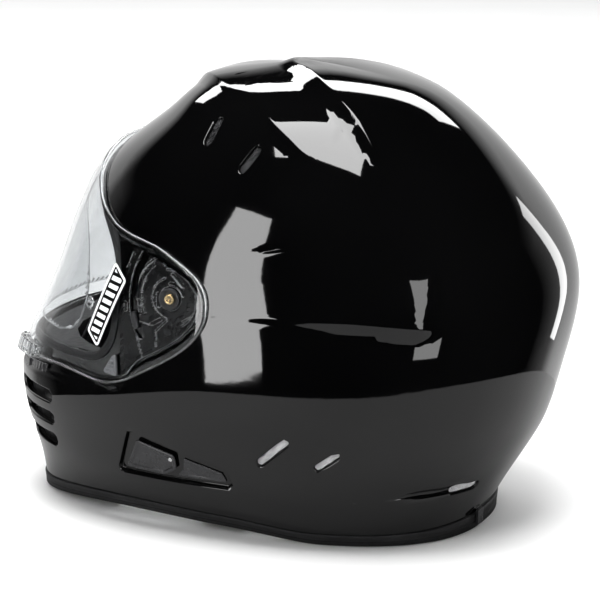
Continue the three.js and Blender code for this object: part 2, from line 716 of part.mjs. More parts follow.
// thumb slider with a peg that runs in the shell's slot
function leverSlider() {
  const plate = layer(-0.3, -1.5).intersect(sidePrism(SLIDER_EDGE, 40, FULL));
  const [y, z] = LEVER.peg;
  return plate.add(layer(-0.5, -5).intersect(barX(y, z, 1.5, 90, FULL, 10)));
}
const leverTrack = () => layer(-2.1, -2.7).intersect(sidePrism(TRACK_EDGE, 40, FULL))
  .subtract(leftOf(slotEdge(LEVER.slotFrom, LEVER.slotTo, LEVER.slotWidth + 1)));

// cable that works the sun visor, from the lever up to the pivot, behind the visor's recess
const CABLE = [[-16, 0.215], [-6, 0.25], [2, 0.31], [5, 0.38], [6, 0.46], [4, 0.53]];

function cableTube(radius, sides) {
  const points = CABLE.map(([degrees, level]) => offset(THREE.MathUtils.degToRad(degrees), level, -7));
  const section = new THREE.Shape();
  section.absarc(0, 0, radius, 0, 2 * Math.PI);
  const path = new THREE.CatmullRomCurve3(points);
  return solid(new THREE.ExtrudeGeometry(section, {
    extrudePath: path, steps: 18, curveSegments: sides / 2, bevelEnabled: false,
  }));
}

// ---------------------------------------------------------------- chin strap

const STRAP = { y0: -30, y1: -6, thick: 2.2 };
const STRAP_LONG = [[100, 62], [98.5, 40], [94, 26], [84, 17], [68, 11], [46, 6.6], [20, 4.2]];
const STRAP_SHORT = [[100, 62], [98.5, 40], [94, 26], [84, 17], [77.6, 14]];

// a flat band whose side runs along a path in the (x, z) plane
function band(path, thick, y0, y1) {
  const curve = new THREE.CatmullRomCurve3(path.map(([x, z]) => new THREE.Vector3(x, z, 0)));
  const steps = path.length * 3;
  const left = [];
  const right = [];
  for (let i = 0; i <= steps; i++) {
    const p = curve.getPoint(i / steps);
    const d = curve.getTangent(i / steps);
    left.push(new THREE.Vector2(p.x - (d.y * thick) / 2, p.y + (d.x * thick) / 2));
    right.unshift(new THREE.Vector2(p.x + (d.y * thick) / 2, p.y - (d.x * thick) / 2));
  }
  return standing(new THREE.Shape([...left, ...right]), y0, y1);
}

// a shape in the (x, z) plane made solid from y0 to y1
function standing(shape, y0, y1) {
  const g = new THREE.ExtrudeGeometry(shape, { depth: y1 - y0, bevelEnabled: false, curveSegments: 8 });
  g.rotateX(Math.PI / 2);
  g.translate(0, y1, 0);
  return solid(g);
}

// the short strap ends in a sewn loop that holds both rings
function strapShort() {
  const loop = new THREE.Shape();
  loop.absellipse(69.8, 12.4, 8.8, 6.6, 0, 2 * Math.PI);
  const eye = new THREE.Path();
  eye.absellipse(69.8, 12.4, 6.7, 4.4, 0, 2 * Math.PI);
  loop.holes.push(eye);
  return band(STRAP_SHORT, STRAP.thick, STRAP.y0, STRAP.y1).add(standing(loop, STRAP.y0, STRAP.y1));
}

// flat D-shaped wire ring lying in the loop
function dRing(x, z, tilt) {
  const outer = new THREE.Shape();
  const half = 15.6;
  outer.moveTo(0, -half);
  outer.lineTo(0, half);
  outer.lineTo(-10, half);
  outer.absarc(-10, 0, half, Math.PI / 2, (3 * Math.PI) / 2);
  outer.lineTo(0, -half);
  const inner = new THREE.Path();
  const inside = half - 2.6;
  inner.moveTo(-2.6, -inside);
  inner.lineTo(-2.6, inside);
  inner.lineTo(-10, inside);
  inner.absarc(-10, 0, inside, Math.PI / 2, (3 * Math.PI) / 2);
  inner.lineTo(-2.6, -inside);
  outer.holes.push(inner);
  const g = new THREE.ExtrudeGeometry(outer, { depth: 2.2, bevelEnabled: false, curveSegments: 8 });
  g.translate(0, 0, -1.1);
  g.rotateY(THREE.MathUtils.degToRad(tilt));
  g.translate(x, (STRAP.y0 + STRAP.y1) / 2, z);
  return solid(g);
}

const strapAnchor = () => box(101.5, 103.1, -32, -4, 40, 68).subtract(barX(-18, 60, 3.4, 90, 120, 16));
const strapRivet = () => barX(-18, 60, 3, 101.4, 105, 16).subtract(barX(-18, 60, 1, 90, 102, 8));
const strapSnap = () => {
  const g = new THREE.CylinderGeometry(5.5, 5.5, 1.6, 20);
  g.rotateX(Math.PI / 2);
  g.translate(30, -18, 8);
  return solid(g);
};

// ---------------------------------------------------------------- rear vents

const REAR_VENT = { azimuth: 68, height: 34, width: 22, tall: 5.5 };

function rearVentTool(shrink) {
  const a = THREE.MathUtils.degToRad(REAR_VENT.azimuth);
  const p = offset(a, levelAt(a, REAR_VENT.height), -2);
  const g = new THREE.BoxGeometry(REAR_VENT.width - shrink, 16, REAR_VENT.tall - shrink);
  g.rotateZ(a - Math.PI / 2);
  g.translate(p.x, p.y, p.z);
  return solid(g);
}

const group = new THREE.Group();

function piece(name, manifold, look) {
  const mesh = new THREE.Mesh(toGeometry(manifold), new THREE.MeshStandardMaterial(look));
  mesh.name = name;
  group.add(mesh);
}

function pair(name, manifold, look) {
  piece(`${name}_left`, manifold, look);
  piece(`${name}_right`, mirrorX(manifold), look);
}

piece('outer_shell', outerShell(), BLACK_PAINT);
piece('base_trim', baseTrim(), RUBBER);
piece('eyeport_gasket', eyeportGasket(), RUBBER);
piece('impact_liner', impactLiner(), FOAM);
piece('chin_bar_liner', chinBarLiner(), FOAM);
piece('crown_pad', crownPad(), CLOTH);
pair('cheek_pad', cheekPad(), CLOTH);
piece('neck_roll', neckRoll(), CLOTH);
pair('visor_base', visorBase(), BLACK_PLASTIC);
pair('base_boss', baseBoss(), BLACK_PLASTIC);
pair('base_screw', baseScrew(), BRASS);
pair('release_lever', releaseLever(), SMOKE);
pair('guide_shoe', guideShoe(), BLACK_PLASTIC);
piece('face_shield', faceShield(), CLEAR);
piece('anti_fog_insert', antiFogInsert(), CLEAR);
pair('anti_fog_pin', antiFogPin(), SILVER);
piece('shield_latch', shieldLatch(), BLACK_PLASTIC);
for (const [name, vent] of Object.entries(VENTS)) {
  pair(`${name}_mesh`, ventMesh(vent), SILVER);
}
pair('chin_vent_grille', chinGrille(), BLACK_PLASTIC);
piece('breath_deflector', breathDeflector(), RUBBER);
piece('chin_curtain', chinCurtain(), CLOTH);
piece('trim_clip', trimClip(), BLACK_PLASTIC);
piece('sun_visor', sunVisor(), SMOKE);
pair('sun_visor_arm', sunArm(), BLACK_PLASTIC);
pair('sun_visor_pivot', sunPivot(), BLACK_PLASTIC);
piece('sun_visor_lever', leverSlider(), BLACK_PLASTIC);
piece('lever_track', leverTrack(), BLACK_PLASTIC);
piece('sun_visor_cable', cableTube(1.6, 8), BLACK_PLASTIC);
piece('chin_strap_left', band(STRAP_LONG, STRAP.thick, STRAP.y0, STRAP.y1), WEBBING);
piece('chin_strap_right', mirrorX(strapShort()), WEBBING);
piece('d_ring_upper', mirrorX(dRing(74.2, 13.9, -8)), SILVER);
piece('d_ring_lower', mirrorX(dRing(70.6, 10.7, -12)), SILVER);
piece('strap_snap', strapSnap(), SILVER);
pair('strap_anchor', strapAnchor(), SILVER);
pair('strap_rivet', strapRivet(), SILVER);
pair('rear_exhaust_mesh', layer(-1.6, -2.8).intersect(rearVentTool(1)), SILVER);

export default group;
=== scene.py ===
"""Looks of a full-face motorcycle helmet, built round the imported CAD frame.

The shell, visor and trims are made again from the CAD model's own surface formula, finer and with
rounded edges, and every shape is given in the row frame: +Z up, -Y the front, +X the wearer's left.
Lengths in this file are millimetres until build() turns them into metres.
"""
import math

import bmesh
import bpy
import numpy as np
from mathutils import Matrix, Vector


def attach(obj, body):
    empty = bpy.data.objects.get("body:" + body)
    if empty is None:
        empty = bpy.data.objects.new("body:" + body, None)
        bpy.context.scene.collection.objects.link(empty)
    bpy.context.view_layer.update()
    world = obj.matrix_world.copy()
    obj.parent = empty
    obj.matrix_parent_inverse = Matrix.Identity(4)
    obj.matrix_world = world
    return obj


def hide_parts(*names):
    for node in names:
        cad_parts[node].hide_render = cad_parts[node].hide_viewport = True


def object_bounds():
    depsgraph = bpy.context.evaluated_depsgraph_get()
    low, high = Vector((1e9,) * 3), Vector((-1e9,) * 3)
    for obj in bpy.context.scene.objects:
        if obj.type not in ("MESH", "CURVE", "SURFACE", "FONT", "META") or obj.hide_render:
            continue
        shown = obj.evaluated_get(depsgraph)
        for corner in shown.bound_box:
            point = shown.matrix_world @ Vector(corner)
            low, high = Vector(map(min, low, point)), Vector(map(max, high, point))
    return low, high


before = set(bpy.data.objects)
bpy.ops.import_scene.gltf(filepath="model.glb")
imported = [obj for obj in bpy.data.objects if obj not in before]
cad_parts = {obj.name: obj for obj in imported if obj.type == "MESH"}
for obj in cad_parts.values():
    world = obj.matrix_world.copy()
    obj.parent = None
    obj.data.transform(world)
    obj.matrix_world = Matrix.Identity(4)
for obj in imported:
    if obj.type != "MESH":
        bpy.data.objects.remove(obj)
CAD_BOX = [list(corner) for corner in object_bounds()]

# ---------------------------------------------------------------- dimensions, as in the CAD source

MM = 0.001
SIDES = ("left", "right")
LEVEL = np.array([0, 0.09, 0.18, 0.29, 0.4, 0.51, 0.62, 0.73, 0.83, 0.92, 1])
PROFILES = {
    "front_y": [-154.5, -154.9, -163, -166.1, -153.2, -138.2, -122.7, -105.1, -71.7, -45.8, -0.7],
    "front_z": [0, 25.4, 49.4, 84.3, 115.1, 146.6, 178.8, 209.1, 235.6, 254.6, 262.1],
    "rear_y": [119.8, 119.5, 135.8, 149.4, 158.4, 166.1, 154.8, 127.9, 97.8, 58.1, -0.7],
    "rear_z": [0, 9.1, 37.4, 62.3, 94.1, 136.6, 174.1, 208.6, 236.1, 255.6, 262.1],
    "side_x": [86.6, 104.8, 112.4, 120.2, 124.1, 126, 122, 110, 90, 54.5, 0],
    "side_z": [0, 21.8, 44.4, 74.3, 104.1, 136.1, 168.6, 199.1, 229.1, 251.6, 262.1],
    "mid_y": [-5.7, -5.7, -5.7, -5.7, -3.7, -0.7, 2.3, 2.3, 2.3, 0.3, -0.7],
}
ROUND_FRONT, ROUND_REAR, ROUND_FRONT_RIM, ROUND_REAR_RIM = 2.15, 2.25, 0.53, 0.25
CORNER_SAG = 0.47
RIM_ARCH, RIM_ARCH_MID, RIM_ARCH_HALF = 6.5, -0.33, 0.67

GAP = 0.3
SHELL = 4.0
POCKET = 4.0
TRIM_HEIGHT = 8.7
TRIM_PROUD = 1.0
TRIM_DEPTH = 7.0
VISOR_THICK = 2.2
VISOR_LOW = 0.2
VISOR_PROUD = 3.4
BOSS_Y, BOSS_Z = -24.7, 143.5
TRACK_Y, TRACK_Z, TRACK_RADIUS, TRACK_WIDTH = -4.0, 142.0, 46.0, 5.0
TRACK_FROM, TRACK_TO = 143, 208
STRAP_BACK, STRAP_FRONT, STRAP_THICK = -6.0, -30.0, 2.2
STRAP_LONG = [(100, 62), (98.5, 40), (94, 26), (84, 17), (68, 11), (46, 6.6), (20, 4.2)]
STRAP_SHORT = [(100, 62), (98.5, 40), (94, 26), (84, 17), (77.6, 14)]

AHEAD = -220.0
VISOR_EDGE = [
    (AHEAD, 216), (-101, 216), (-96, 203), (-87.5, 194.4), (-78.7, 186.1), (-66.6, 179.1),
    (-55.5, 175.8), (-43.6, 173.6), (-32.5, 171.1), (-22, 166.5), (-11.7, 161), (-5, 155.2),
    (-1.2, 148.5), (-0.2, 140.6), (-2, 131.5), (-8, 122.4), (-17.5, 113.9), (-29.9, 105.8),
    (-43.6, 98.3), (-53.9, 92.9), (-64.9, 89.5), (-75.9, 88.7), (-91.6, 90.1), (-105, 91.3),
    (AHEAD, 86.5),
]
POCKET_EDGE = [
    (AHEAD, 211), (-101.5, 211), (-97.5, 200), (-90, 191.5), (-80.5, 182.8), (-68, 175.8),
    (-56.5, 172.3), (-44.5, 170), (-33.5, 167.3), (-23.5, 163), (-14, 158.2), (-8.5, 153.3),
    (-5, 148), (-3.8, 141), (-5.4, 133), (-11, 125), (-20, 117), (-32, 109.5), (-44.5, 102.5),
    (-53, 95), (-60, 86), (-72, 81.5), (-92, 81), (AHEAD, 76.5),
]
EYEPORT_EDGE = [
    (AHEAD, 203), (-103, 203), (-98, 191), (-87, 181), (-76.5, 172), (-69, 162), (-66, 150),
    (-67, 125), (-71.5, 112), (-82, 104), (-110, 103), (AHEAD, 103),
]
GASKET_EDGE = [
    (AHEAD, 207.5), (-102.6, 207.5), (-99, 198), (-90.5, 189.3), (-80, 180.6), (-68, 172),
    (-61.5, 150), (-62.5, 124), (-67.5, 108.5), (-80, 99.5), (-110, 98.5), (AHEAD, 98.5),
]
BASE_EDGE = [
    (-51.5, 168.6), (-44.5, 167), (-34.5, 164.4), (-25, 160.4), (-16, 156), (-10.5, 151.5),
    (-7.5, 147), (-6.8, 141), (-8.2, 134.5), (-13, 127.5), (-21.5, 120), (-33, 112.8),
    (-46, 105.5), (-50, 101.5), (-56, 95), (-59.3, 100), (-59.8, 140), (-56, 158),
]
RECESS_EDGE = [(-56, 63), (-24, 53.5), (5, 46), (10, 33.5), (-30, 33.5), (-67, 34)]
SLIDER_EDGE = [(-51, 56.5), (-27, 50), (-26.5, 42), (-34.5, 37), (-60, 38.5)]
TRACK_EDGE = [(-22, 48.5), (1.5, 42.5), (4, 37), (-27, 37), (-22.5, 42)]
RELEASE_EDGE = [(-62.6, 107), (-61.4, 93.5), (-71.5, 94.8)]
VENTS = {
    "crown_vent_front": ((-17, 227.5), (-15.5, 237), 5.0),
    "crown_vent_rear": ((9, 216), (14, 225), 5.0),
    "side_exhaust_front": ((26.5, 53.5), (42, 67), 4.6),
    "side_exhaust_rear": ((59, 53), (69.5, 60.8), 4.2),
}
CHIN_SLOTS, CHIN_SLOT_HEIGHT = (70, 56, 42), 8.0
REAR_VENT_AZIMUTH, REAR_VENT_HEIGHT, REAR_VENT_WIDTH, REAR_VENT_TALL = 68, 34.0, 22.0, 5.5

# ---------------------------------------------------------------- the helmet's surface


class Spline:
    """Natural cubic spline over LEVEL."""

    def __init__(self, values):
        y, h = np.array(values, float), np.diff(LEVEL)
        n = len(y)
        system, right = np.eye(n), np.zeros(n)
        for i in range(1, n - 1):
            system[i, i - 1: i + 2] = h[i - 1], 2 * (h[i - 1] + h[i]), h[i]
            right[i] = 6 * ((y[i + 1] - y[i]) / h[i] - (y[i] - y[i - 1]) / h[i - 1])
        self.y, self.h, self.m = y, h, np.linalg.solve(system, right)

    def __call__(self, t):
        i = np.clip(np.searchsorted(LEVEL, t, side="right") - 1, 0, len(self.h) - 1)
        h = self.h[i]
        a = (LEVEL[i + 1] - t) / h
        b = 1 - a
        bend = ((a**3 - a) * self.m[i] + (b**3 - b) * self.m[i + 1]) * h * h / 6
        return a * self.y[i] + b * self.y[i + 1] + bend


SPLINES = {name: Spline(values) for name, values in PROFILES.items()}


def ease(x):
    k = np.clip(x, 0, 1)
    return k * k * (3 - 2 * k)


def skin(azimuth, level):
    """Point of the outer surface; azimuth 0 is at +X and a quarter turn at the rear."""
    p = {name: spline(level) for name, spline in SPLINES.items()}
    c, s = np.cos(azimuth), np.sin(azimuth)
    low = (1 - level) ** 3
    front_power = ROUND_FRONT + ROUND_FRONT_RIM * low
    rear_power = ROUND_REAR + ROUND_REAR_RIM * low
    e = 2 / (front_power + (rear_power - front_power) * ease((s + 1) / 2))
    reach = np.where(s < 0, p["front_y"], p["rear_y"]) - p["mid_y"]
    x = p["side_x"] * np.sign(c) * np.abs(c) ** e
    y = p["mid_y"] + reach * np.abs(s) ** e
    share = s * s * (1 + CORNER_SAG * (1 - level) ** 2 * c * c)
    u = np.clip((s - RIM_ARCH_MID) / RIM_ARCH_HALF, -1, 1)
    arch = RIM_ARCH * (1 - u * u) ** 1.5 * low
    z = p["side_z"] * (1 - share) + np.where(s < 0, p["front_z"], p["rear_z"]) * share + arch
    return np.stack([x, y, z], -1)


def unit(v):
    return v / np.maximum(np.linalg.norm(v, axis=-1, keepdims=True), 1e-12)


def normal(azimuth, level):
    t = np.minimum(level, 0.985)
    d = 0.004
    around = skin(azimuth + d, t) - skin(azimuth - d, t)
    up = skin(azimuth, t + d) - skin(azimuth, np.maximum(t - d, 0))
    return unit(np.cross(around, up))


def level_at(azimuth, height):
    """Level at a height above the rim."""
    azimuth = np.asarray(azimuth, float)
    target = skin(azimuth, np.zeros_like(azimuth))[..., 2] + height
    low, high = np.zeros_like(azimuth), np.full_like(azimuth, 0.6)
    for _ in range(20):
        mid = (low + high) / 2
        under = skin(azimuth, mid)[..., 2] < target
        low, high = np.where(under, mid, low), np.where(under, high, mid)
    return (low + high) / 2


SAMPLE_A, SAMPLE_T = np.meshgrid(
    np.radians(np.linspace(-90, 90, 361)), np.linspace(0.02, 0.99, 389), indexing="ij"
)
SAMPLE_P = skin(SAMPLE_A, SAMPLE_T)


def uv_at(y, z):
    """(azimuth, level) of the left side's surface at a side-view position."""
    d = (SAMPLE_P[..., 1] - y) ** 2 + (SAMPLE_P[..., 2] - z) ** 2
    i = np.unravel_index(d.argmin(), d.shape)
    uv = np.array([SAMPLE_A[i], SAMPLE_T[i]])
    for _ in range(4):
        p = skin(uv[0], uv[1])[1:]
        du = (skin(uv[0] + 1e-4, uv[1])[1:] - p) / 1e-4
        dv = (skin(uv[0], uv[1] + 1e-4)[1:] - p) / 1e-4
        uv = uv + np.linalg.solve(np.stack([du, dv], 1), np.array([y, z]) - p)
    return uv


def snapped(points):
    """Points near the left half of the surface, moved onto it."""
    out = []
    for p in np.array(points, float):
        i = np.unravel_index(((SAMPLE_P - p) ** 2).sum(-1).argmin(), SAMPLE_A.shape)
        n = normal(SAMPLE_A[i], SAMPLE_T[i])
        out.append(p - n * ((p - SAMPLE_P[i]) @ n))
    return np.array(out)


def left_point(y, z):
    """Point of the left side's surface at a side-view position, and the normal there."""
    uv = uv_at(y, z)
    return skin(*uv), normal(*uv)


# ---------------------------------------------------------------- outlines in the side view (y, z)


def catmull(a, b, c, d, k):
    """Catmull-Rom curve from b to c at the shares k, with a before b and d after c."""
    return 0.5 * (2 * b + (c - a) * k + (2 * a - 5 * b + 4 * c - d) * k**2 + (3 * b - a - 3 * c + d) * k**3)


CURVE_STEPS = 6


def smooth_outline(points):
    """A closed curve through the points, with the far front corners left alone."""
    p = np.array(points, float)
    k = np.linspace(0, 1, CURVE_STEPS, endpoint=False)[:, None]
    out = []
    for i, b in enumerate(p):
        a, c, d = p[i - 1], p[(i + 1) % len(p)], p[(i + 2) % len(p)]
        if b[0] <= AHEAD or c[0] <= AHEAD:
            out.append(b[None])
            continue
        if a[0] <= AHEAD:
            a = 2 * b - c
        if d[0] <= AHEAD:
            d = 2 * c - b
        out.append(catmull(a, b, c, d, k))
    return np.vstack(out)


def open_curve(points, per_span, before=None):
    """A smooth curve through the points, open at both ends; before is the point that leads into it."""
    p = np.array(points, float)
    first = 2 * p[0] - p[1] if before is None else before
    padded = np.vstack([first, p, 2 * p[-1] - p[-2]])
    k = np.linspace(0, 1, per_span, endpoint=False)[:, None]
    spans = [catmull(*four, k) for four in zip(padded, padded[1:], padded[2:], padded[3:])]
    return np.vstack(spans + [p[-1:]])


def polygon_distance(points, outline):
    """Signed distance of side-view points to a closed outline, negative inside."""
    p = points[:, None, :]
    a = outline[None]
    b = np.roll(outline, -1, axis=0)[None]
    ab = b - a
    k = np.clip(((p - a) * ab).sum(-1) / (ab**2).sum(-1), 0, 1)
    distance = np.sqrt((((p - a) - k[..., None] * ab) ** 2).sum(-1).min(1))
    y, z = points[:, 0, None], points[:, 1, None]
    above_a, above_b = outline[None, :, 1] > z, b[..., 1] > z
    span = np.where(above_a != above_b, b[..., 1] - outline[None, :, 1], 1)
    at = outline[None, :, 0] + (z - outline[None, :, 1]) / span * (b[..., 0] - outline[None, :, 0])
    inside = ((above_a != above_b) & (y < at)).sum(1) % 2 == 1
    return np.where(inside, -distance, distance)


def grow(outline, by):
    """The outline (clockwise in the side view) moved outward by a distance."""
    p = np.array(outline, float)
    edge = unit(np.roll(p, -1, axis=0) - p)
    away = np.stack([-edge[:, 1], edge[:, 0]], 1)
    into = np.roll(away, 1, axis=0)
    bisector = unit(into + away)
    return p + bisector * (by / np.maximum((bisector * into).sum(1), 0.5))[:, None]


FAR = 1e3
REACH = 14.0  # beyond this an outline's field is just FAR
CHUNK = 8000  # points handled at once


def on_sides(p, sides):
    """Which points are on the left (1) or right (-1) side, where sides lists the wanted ones."""
    return np.isin(np.where(p[:, 0] < 0, -1, 1), sides)


class Outline:
    """A field over the surface: signed distance to a side-view outline, negative inside."""

    def __init__(self, points, rounding=None, sides=(1, -1)):
        self.sides, self.rounding = sides, rounding or 0.0
        self.points = smooth_outline(points) if rounding is None else grow(points, -rounding)

    def __call__(self, p):
        value = np.full(len(p), FAR)
        low = self.points.min(0) - REACH - self.rounding
        high = self.points.max(0) + REACH + self.rounding
        near = on_sides(p, self.sides) & (p[:, 1:] >= low).all(1) & (p[:, 1:] <= high).all(1)
        for chunk in np.array_split(np.flatnonzero(near), max(1, near.sum() // CHUNK)):
            value[chunk] = polygon_distance(p[chunk, 1:], self.points) - self.rounding
        return value


class Slot:
    """A field over the surface: distance to a round-ended slot in the side view."""

    def __init__(self, start, end, width, sides=(1, -1)):
        self.a, self.b = np.array(start, float), np.array(end, float)
        self.half, self.sides = width / 2, sides

    def __call__(self, p):
        ab = self.b - self.a
        q = p[:, 1:] - self.a
        k = np.clip((q @ ab) / (ab @ ab), 0, 1)
        d = np.linalg.norm(q - k[:, None] * ab, axis=1) - self.half
        return np.where(on_sides(p, self.sides), d, FAR)


# ---------------------------------------------------------------- meshes over the surface


def lattice(columns, rows):
    """Triangles over a lattice of (columns + 1) x (rows + 1) points, numbered column by column."""
    i, j = np.meshgrid(np.arange(columns), np.arange(rows), indexing="ij")
    q = (i * (rows + 1) + j).ravel()
    r = q + rows + 1
    return np.vstack([np.stack([q, r, r + 1], 1), np.stack([q, r + 1, q + 1], 1)])


def grid(columns, rows, low, high):
    """Points and triangles the whole way round, from a low level to a high one.

    The low level may be a function of azimuth.
    """
    a = np.linspace(-1.5 * math.pi, 0.5 * math.pi, columns + 1)
    bottom = low(a) if callable(low) else np.full_like(a, low)
    levels = bottom[:, None] + (high - bottom)[:, None] * np.linspace(0, 1, rows + 1)[None]
    return np.stack([np.repeat(a[:, None], rows + 1, 1), levels], -1).reshape(-1, 2), lattice(columns, rows)


def patch(azimuths, levels, columns, rows):
    """Points and triangles over a range of azimuths and a range of levels."""
    a, t = np.meshgrid(np.linspace(*azimuths, columns + 1), np.linspace(*levels, rows + 1), indexing="ij")
    return np.stack([a.ravel(), t.ravel()], 1), lattice(columns, rows)


def local_grid(area, cell):
    """A patch over a side-view rectangle (y0, y1, z0, z1) of the left side."""
    y0, y1, z0, z1 = area
    corners = [uv_at(y, z) for y in np.linspace(y0, y1, 5) for z in np.linspace(z0, z1, 5)]
    spans = zip(np.min(corners, axis=0), np.max(corners, axis=0))
    return patch(*spans, max(4, int((y1 - y0) / cell)), max(4, int((z1 - z0) / cell)))


def base_points(uv):
    return skin(uv[:, 0], uv[:, 1])


def split(uv, triangles, field, levels):
    """Adds edges along the lines where the field has the given values."""
    value = field(base_points(uv))
    for at in levels:
        v = value - at
        v[np.abs(v) < 1e-5] = 1e-5
        positive = v[triangles] > 0
        count = positive.sum(1)
        crossing = (count == 1) | (count == 2)
        if not crossing.any():
            continue
        cut = triangles[crossing]
        lone = np.argmax(positive[crossing] == (count[crossing] == 1)[:, None], axis=1)
        p, q, r = np.take_along_axis(cut, (lone[:, None] + np.arange(3)) % 3, 1).T
        edges = np.sort(np.vstack([np.stack([p, q], 1), np.stack([p, r], 1)]), axis=1)
        unique, inverse = np.unique(edges, axis=0, return_inverse=True)
        inverse = inverse.ravel()
        a, b, va, vb = uv[unique[:, 0]], uv[unique[:, 1]], v[unique[:, 0]], v[unique[:, 1]]
        for _ in range(4):
            mid = a + (b - a) * (va / (va - vb))[:, None]
            vm = field(base_points(mid)) - at
            vm[np.abs(vm) < 1e-7] = 1e-7
            same = (vm > 0) == (va > 0)
            a, va = np.where(same[:, None], mid, a), np.where(same, vm, va)
            b, vb = np.where(same[:, None], b, mid), np.where(same, vb, vm)
        new = a + (b - a) * (va / (va - vb))[:, None]
        m, w = len(uv) + inverse[: len(p)], len(uv) + inverse[len(p):]
        uv = np.vstack([uv, new])
        value = np.concatenate([value, np.full(len(new), float(at))])
        triangles = np.vstack([triangles[~crossing], np.stack([p, m, w], 1),
                               np.stack([m, q, r], 1), np.stack([m, r, w], 1)])
    return uv, triangles


def keep_where(uv, triangles, field, low, high):
    """Only the triangles whose middle has a field value between the two."""
    middle = field(base_points(uv[triangles].mean(1)))
    return triangles[(middle > low) & (middle < high)]


def trimmed(mesh, field, levels, low=-np.inf, high=np.inf):
    """The mesh (uv, triangles) split along the levels, with what lies between low and high kept."""
    uv, triangles = split(*mesh, field, levels)
    return uv, keep_where(uv, triangles, field, low, high)


def compact(triangles, *arrays):
    used, inverse = np.unique(triangles, return_inverse=True)
    return inverse.reshape(-1, 3), [array[used] for array in arrays]


def surface_with_normals(uv, height):
    """Points at a height over the surface (a function of base points and normals), and their normals."""
    def place(a, t):
        n = normal(a, t)
        p = skin(a, t)
        return p + n * height(p, n)[:, None]

    a, t = uv[:, 0], np.clip(uv[:, 1], 1e-4, 1)
    d = 4e-4
    crown = 0.995
    around = place(a + d, np.minimum(t, crown)) - place(a - d, np.minimum(t, crown))
    up = place(a, np.minimum(t + d, 1)) - place(a, t - d)
    n = unit(np.cross(around, up))
    n[t > crown] = (0, 0, 1)
    return place(a, t), n


def boundary_edges(triangles):
    """Directed edges that belong to one triangle only."""
    e = np.vstack([triangles[:, [0, 1]], triangles[:, [1, 2]], triangles[:, [2, 0]]])
    key = np.sort(e, axis=1)
    _, inverse, count = np.unique(key, axis=0, return_inverse=True, return_counts=True)
    return e[count[inverse.ravel()] == 1]


def thick_sheet(uv, triangles, outer, inner):
    """A closed sheet from an outer height field to an inner one over the same triangles."""
    p, n = surface_with_normals(uv, outer)
    triangles, (uv, p, n) = compact(triangles, uv, p, n)
    q, m = surface_with_normals(uv, inner)
    # the seam behind the helmet and the crown are welded first, so that only true edges get a rim
    _, first, inverse = np.unique(np.round(p, 4), axis=0, return_index=True, return_inverse=True)
    t = inverse.ravel()[triangles]
    t = t[(t[:, 0] != t[:, 1]) & (t[:, 1] != t[:, 2]) & (t[:, 0] != t[:, 2])]
    count = len(first)
    a, b = boundary_edges(t).T
    rim = [np.stack([b, a, a + count], 1), np.stack([b, a + count, b + count], 1)]
    faces = np.vstack([t, t[:, ::-1] + count, *rim])
    return np.vstack([p[first], q[first]]), faces, np.vstack([n[first], -m[first]])


# ---------------------------------------------------------------- relief, recesses and openings

CREST_FRONT = [(0, -57, 249), (10.2, -54.7, 250), (51.6, -22.7, 251.3), (60.1, -8.3, 249.4),
               (67.1, 5.4, 246.4), (78.5, 15.3, 239.1), (85.8, 30.4, 231), (90.9, 44.9, 221.7),
               (91, 56.8, 216.9)]
CREST_REAR = [(0, -4, 260.4), (13.4, 4, 260), (22.6, 14.1, 258.7), (41.3, 30.7, 254.4), (52.7, 43.3, 249.6),
              (60.7, 55.7, 243.1), (71.2, 72.1, 229), (79.5, 87, 211.5)]
SIDE_CREASE = [(118, 2, 136), (122, 13.3, 137.6), (121, 31.7, 140.1), (118, 52.7, 139.7), (108, 79.3, 139.9),
               (88, 109.8, 136.9), (76, 122, 135)]
NAPE_LINE = [(90.7, 84.9, 32.5), (78.9, 102.7, 34.5), (59.3, 119.5, 34.5), (46, 125.2, 33.2)]
RIDGE_SOFT, RIDGE_SOFTER = 0.6, 1.6


class Crest:
    """A line over the left half of the surface, with a raised or sunk slope on each side of it.

    The distance to it is positive ahead of it, or under it on the side.
    """

    def __init__(self, points, height, ahead, behind, taper):
        p = snapped(points)
        self.curve = snapped(open_curve(p, CURVE_STEPS, p[1] * (-1, 1, 1) if p[0, 0] == 0 else None))
        length = np.r_[0, np.cumsum(np.linalg.norm(np.diff(self.curve, axis=0), axis=1))]
        self.share = length / length[-1]
        self.height, self.ahead, self.behind, self.taper = height, ahead, behind, taper

    def distance(self, p, n):
        a, ab = self.curve[:-1], np.diff(self.curve, axis=0)
        side, share = np.empty(len(p)), np.empty(len(p))
        for rows in np.array_split(np.arange(len(p)), max(1, len(p) // CHUNK)):
            rel = p[rows, None] - a[None]
            k = np.clip((rel * ab).sum(-1) / (ab**2).sum(-1), 0, 1)
            away = rel - k[..., None] * ab
            at = (away**2).sum(-1).argmin(1)
            pick = np.arange(len(rows))
            away = away[pick, at]
            sign = np.sign((np.cross(ab[at], n[rows]) * away).sum(-1))
            side[rows] = sign * np.linalg.norm(away, axis=1)
            share[rows] = self.share[at] + (self.share[at + 1] - self.share[at]) * k[pick, at]
        return side, share

    def relief(self, p, n):
        d, share = self.distance(p, n)
        # the ridge itself is softer near the line's start
        soft = RIDGE_SOFT + RIDGE_SOFTER * (1 - ease(share / 0.15))
        q = np.sqrt(d * d + soft * soft) - soft
        k = self.taper(share)
        front = np.clip(1 - q / (self.ahead * (0.35 + 0.65 * k)), 0, 1) ** 1.35
        back = np.clip(1 - q / self.behind, 0, 1) ** 2
        return self.height * k * np.where(d > 0, front, back)


def to_left(p, n):
    """Points and normals mirrored onto the left half."""
    side = np.where(p[:, :1] < 0, -1.0, 1.0) * np.array([1.0, 0, 0]) + np.array([0, 1.0, 1.0])
    return p * side, n * side


def front_taper(k):
    """A dip where the raised visor's corner passes, and a fade at the end."""
    return (1 - 0.3 * np.exp(-(((k - 0.33) / 0.12) ** 2))) * (1 - ease((k - 0.72) / 0.28))


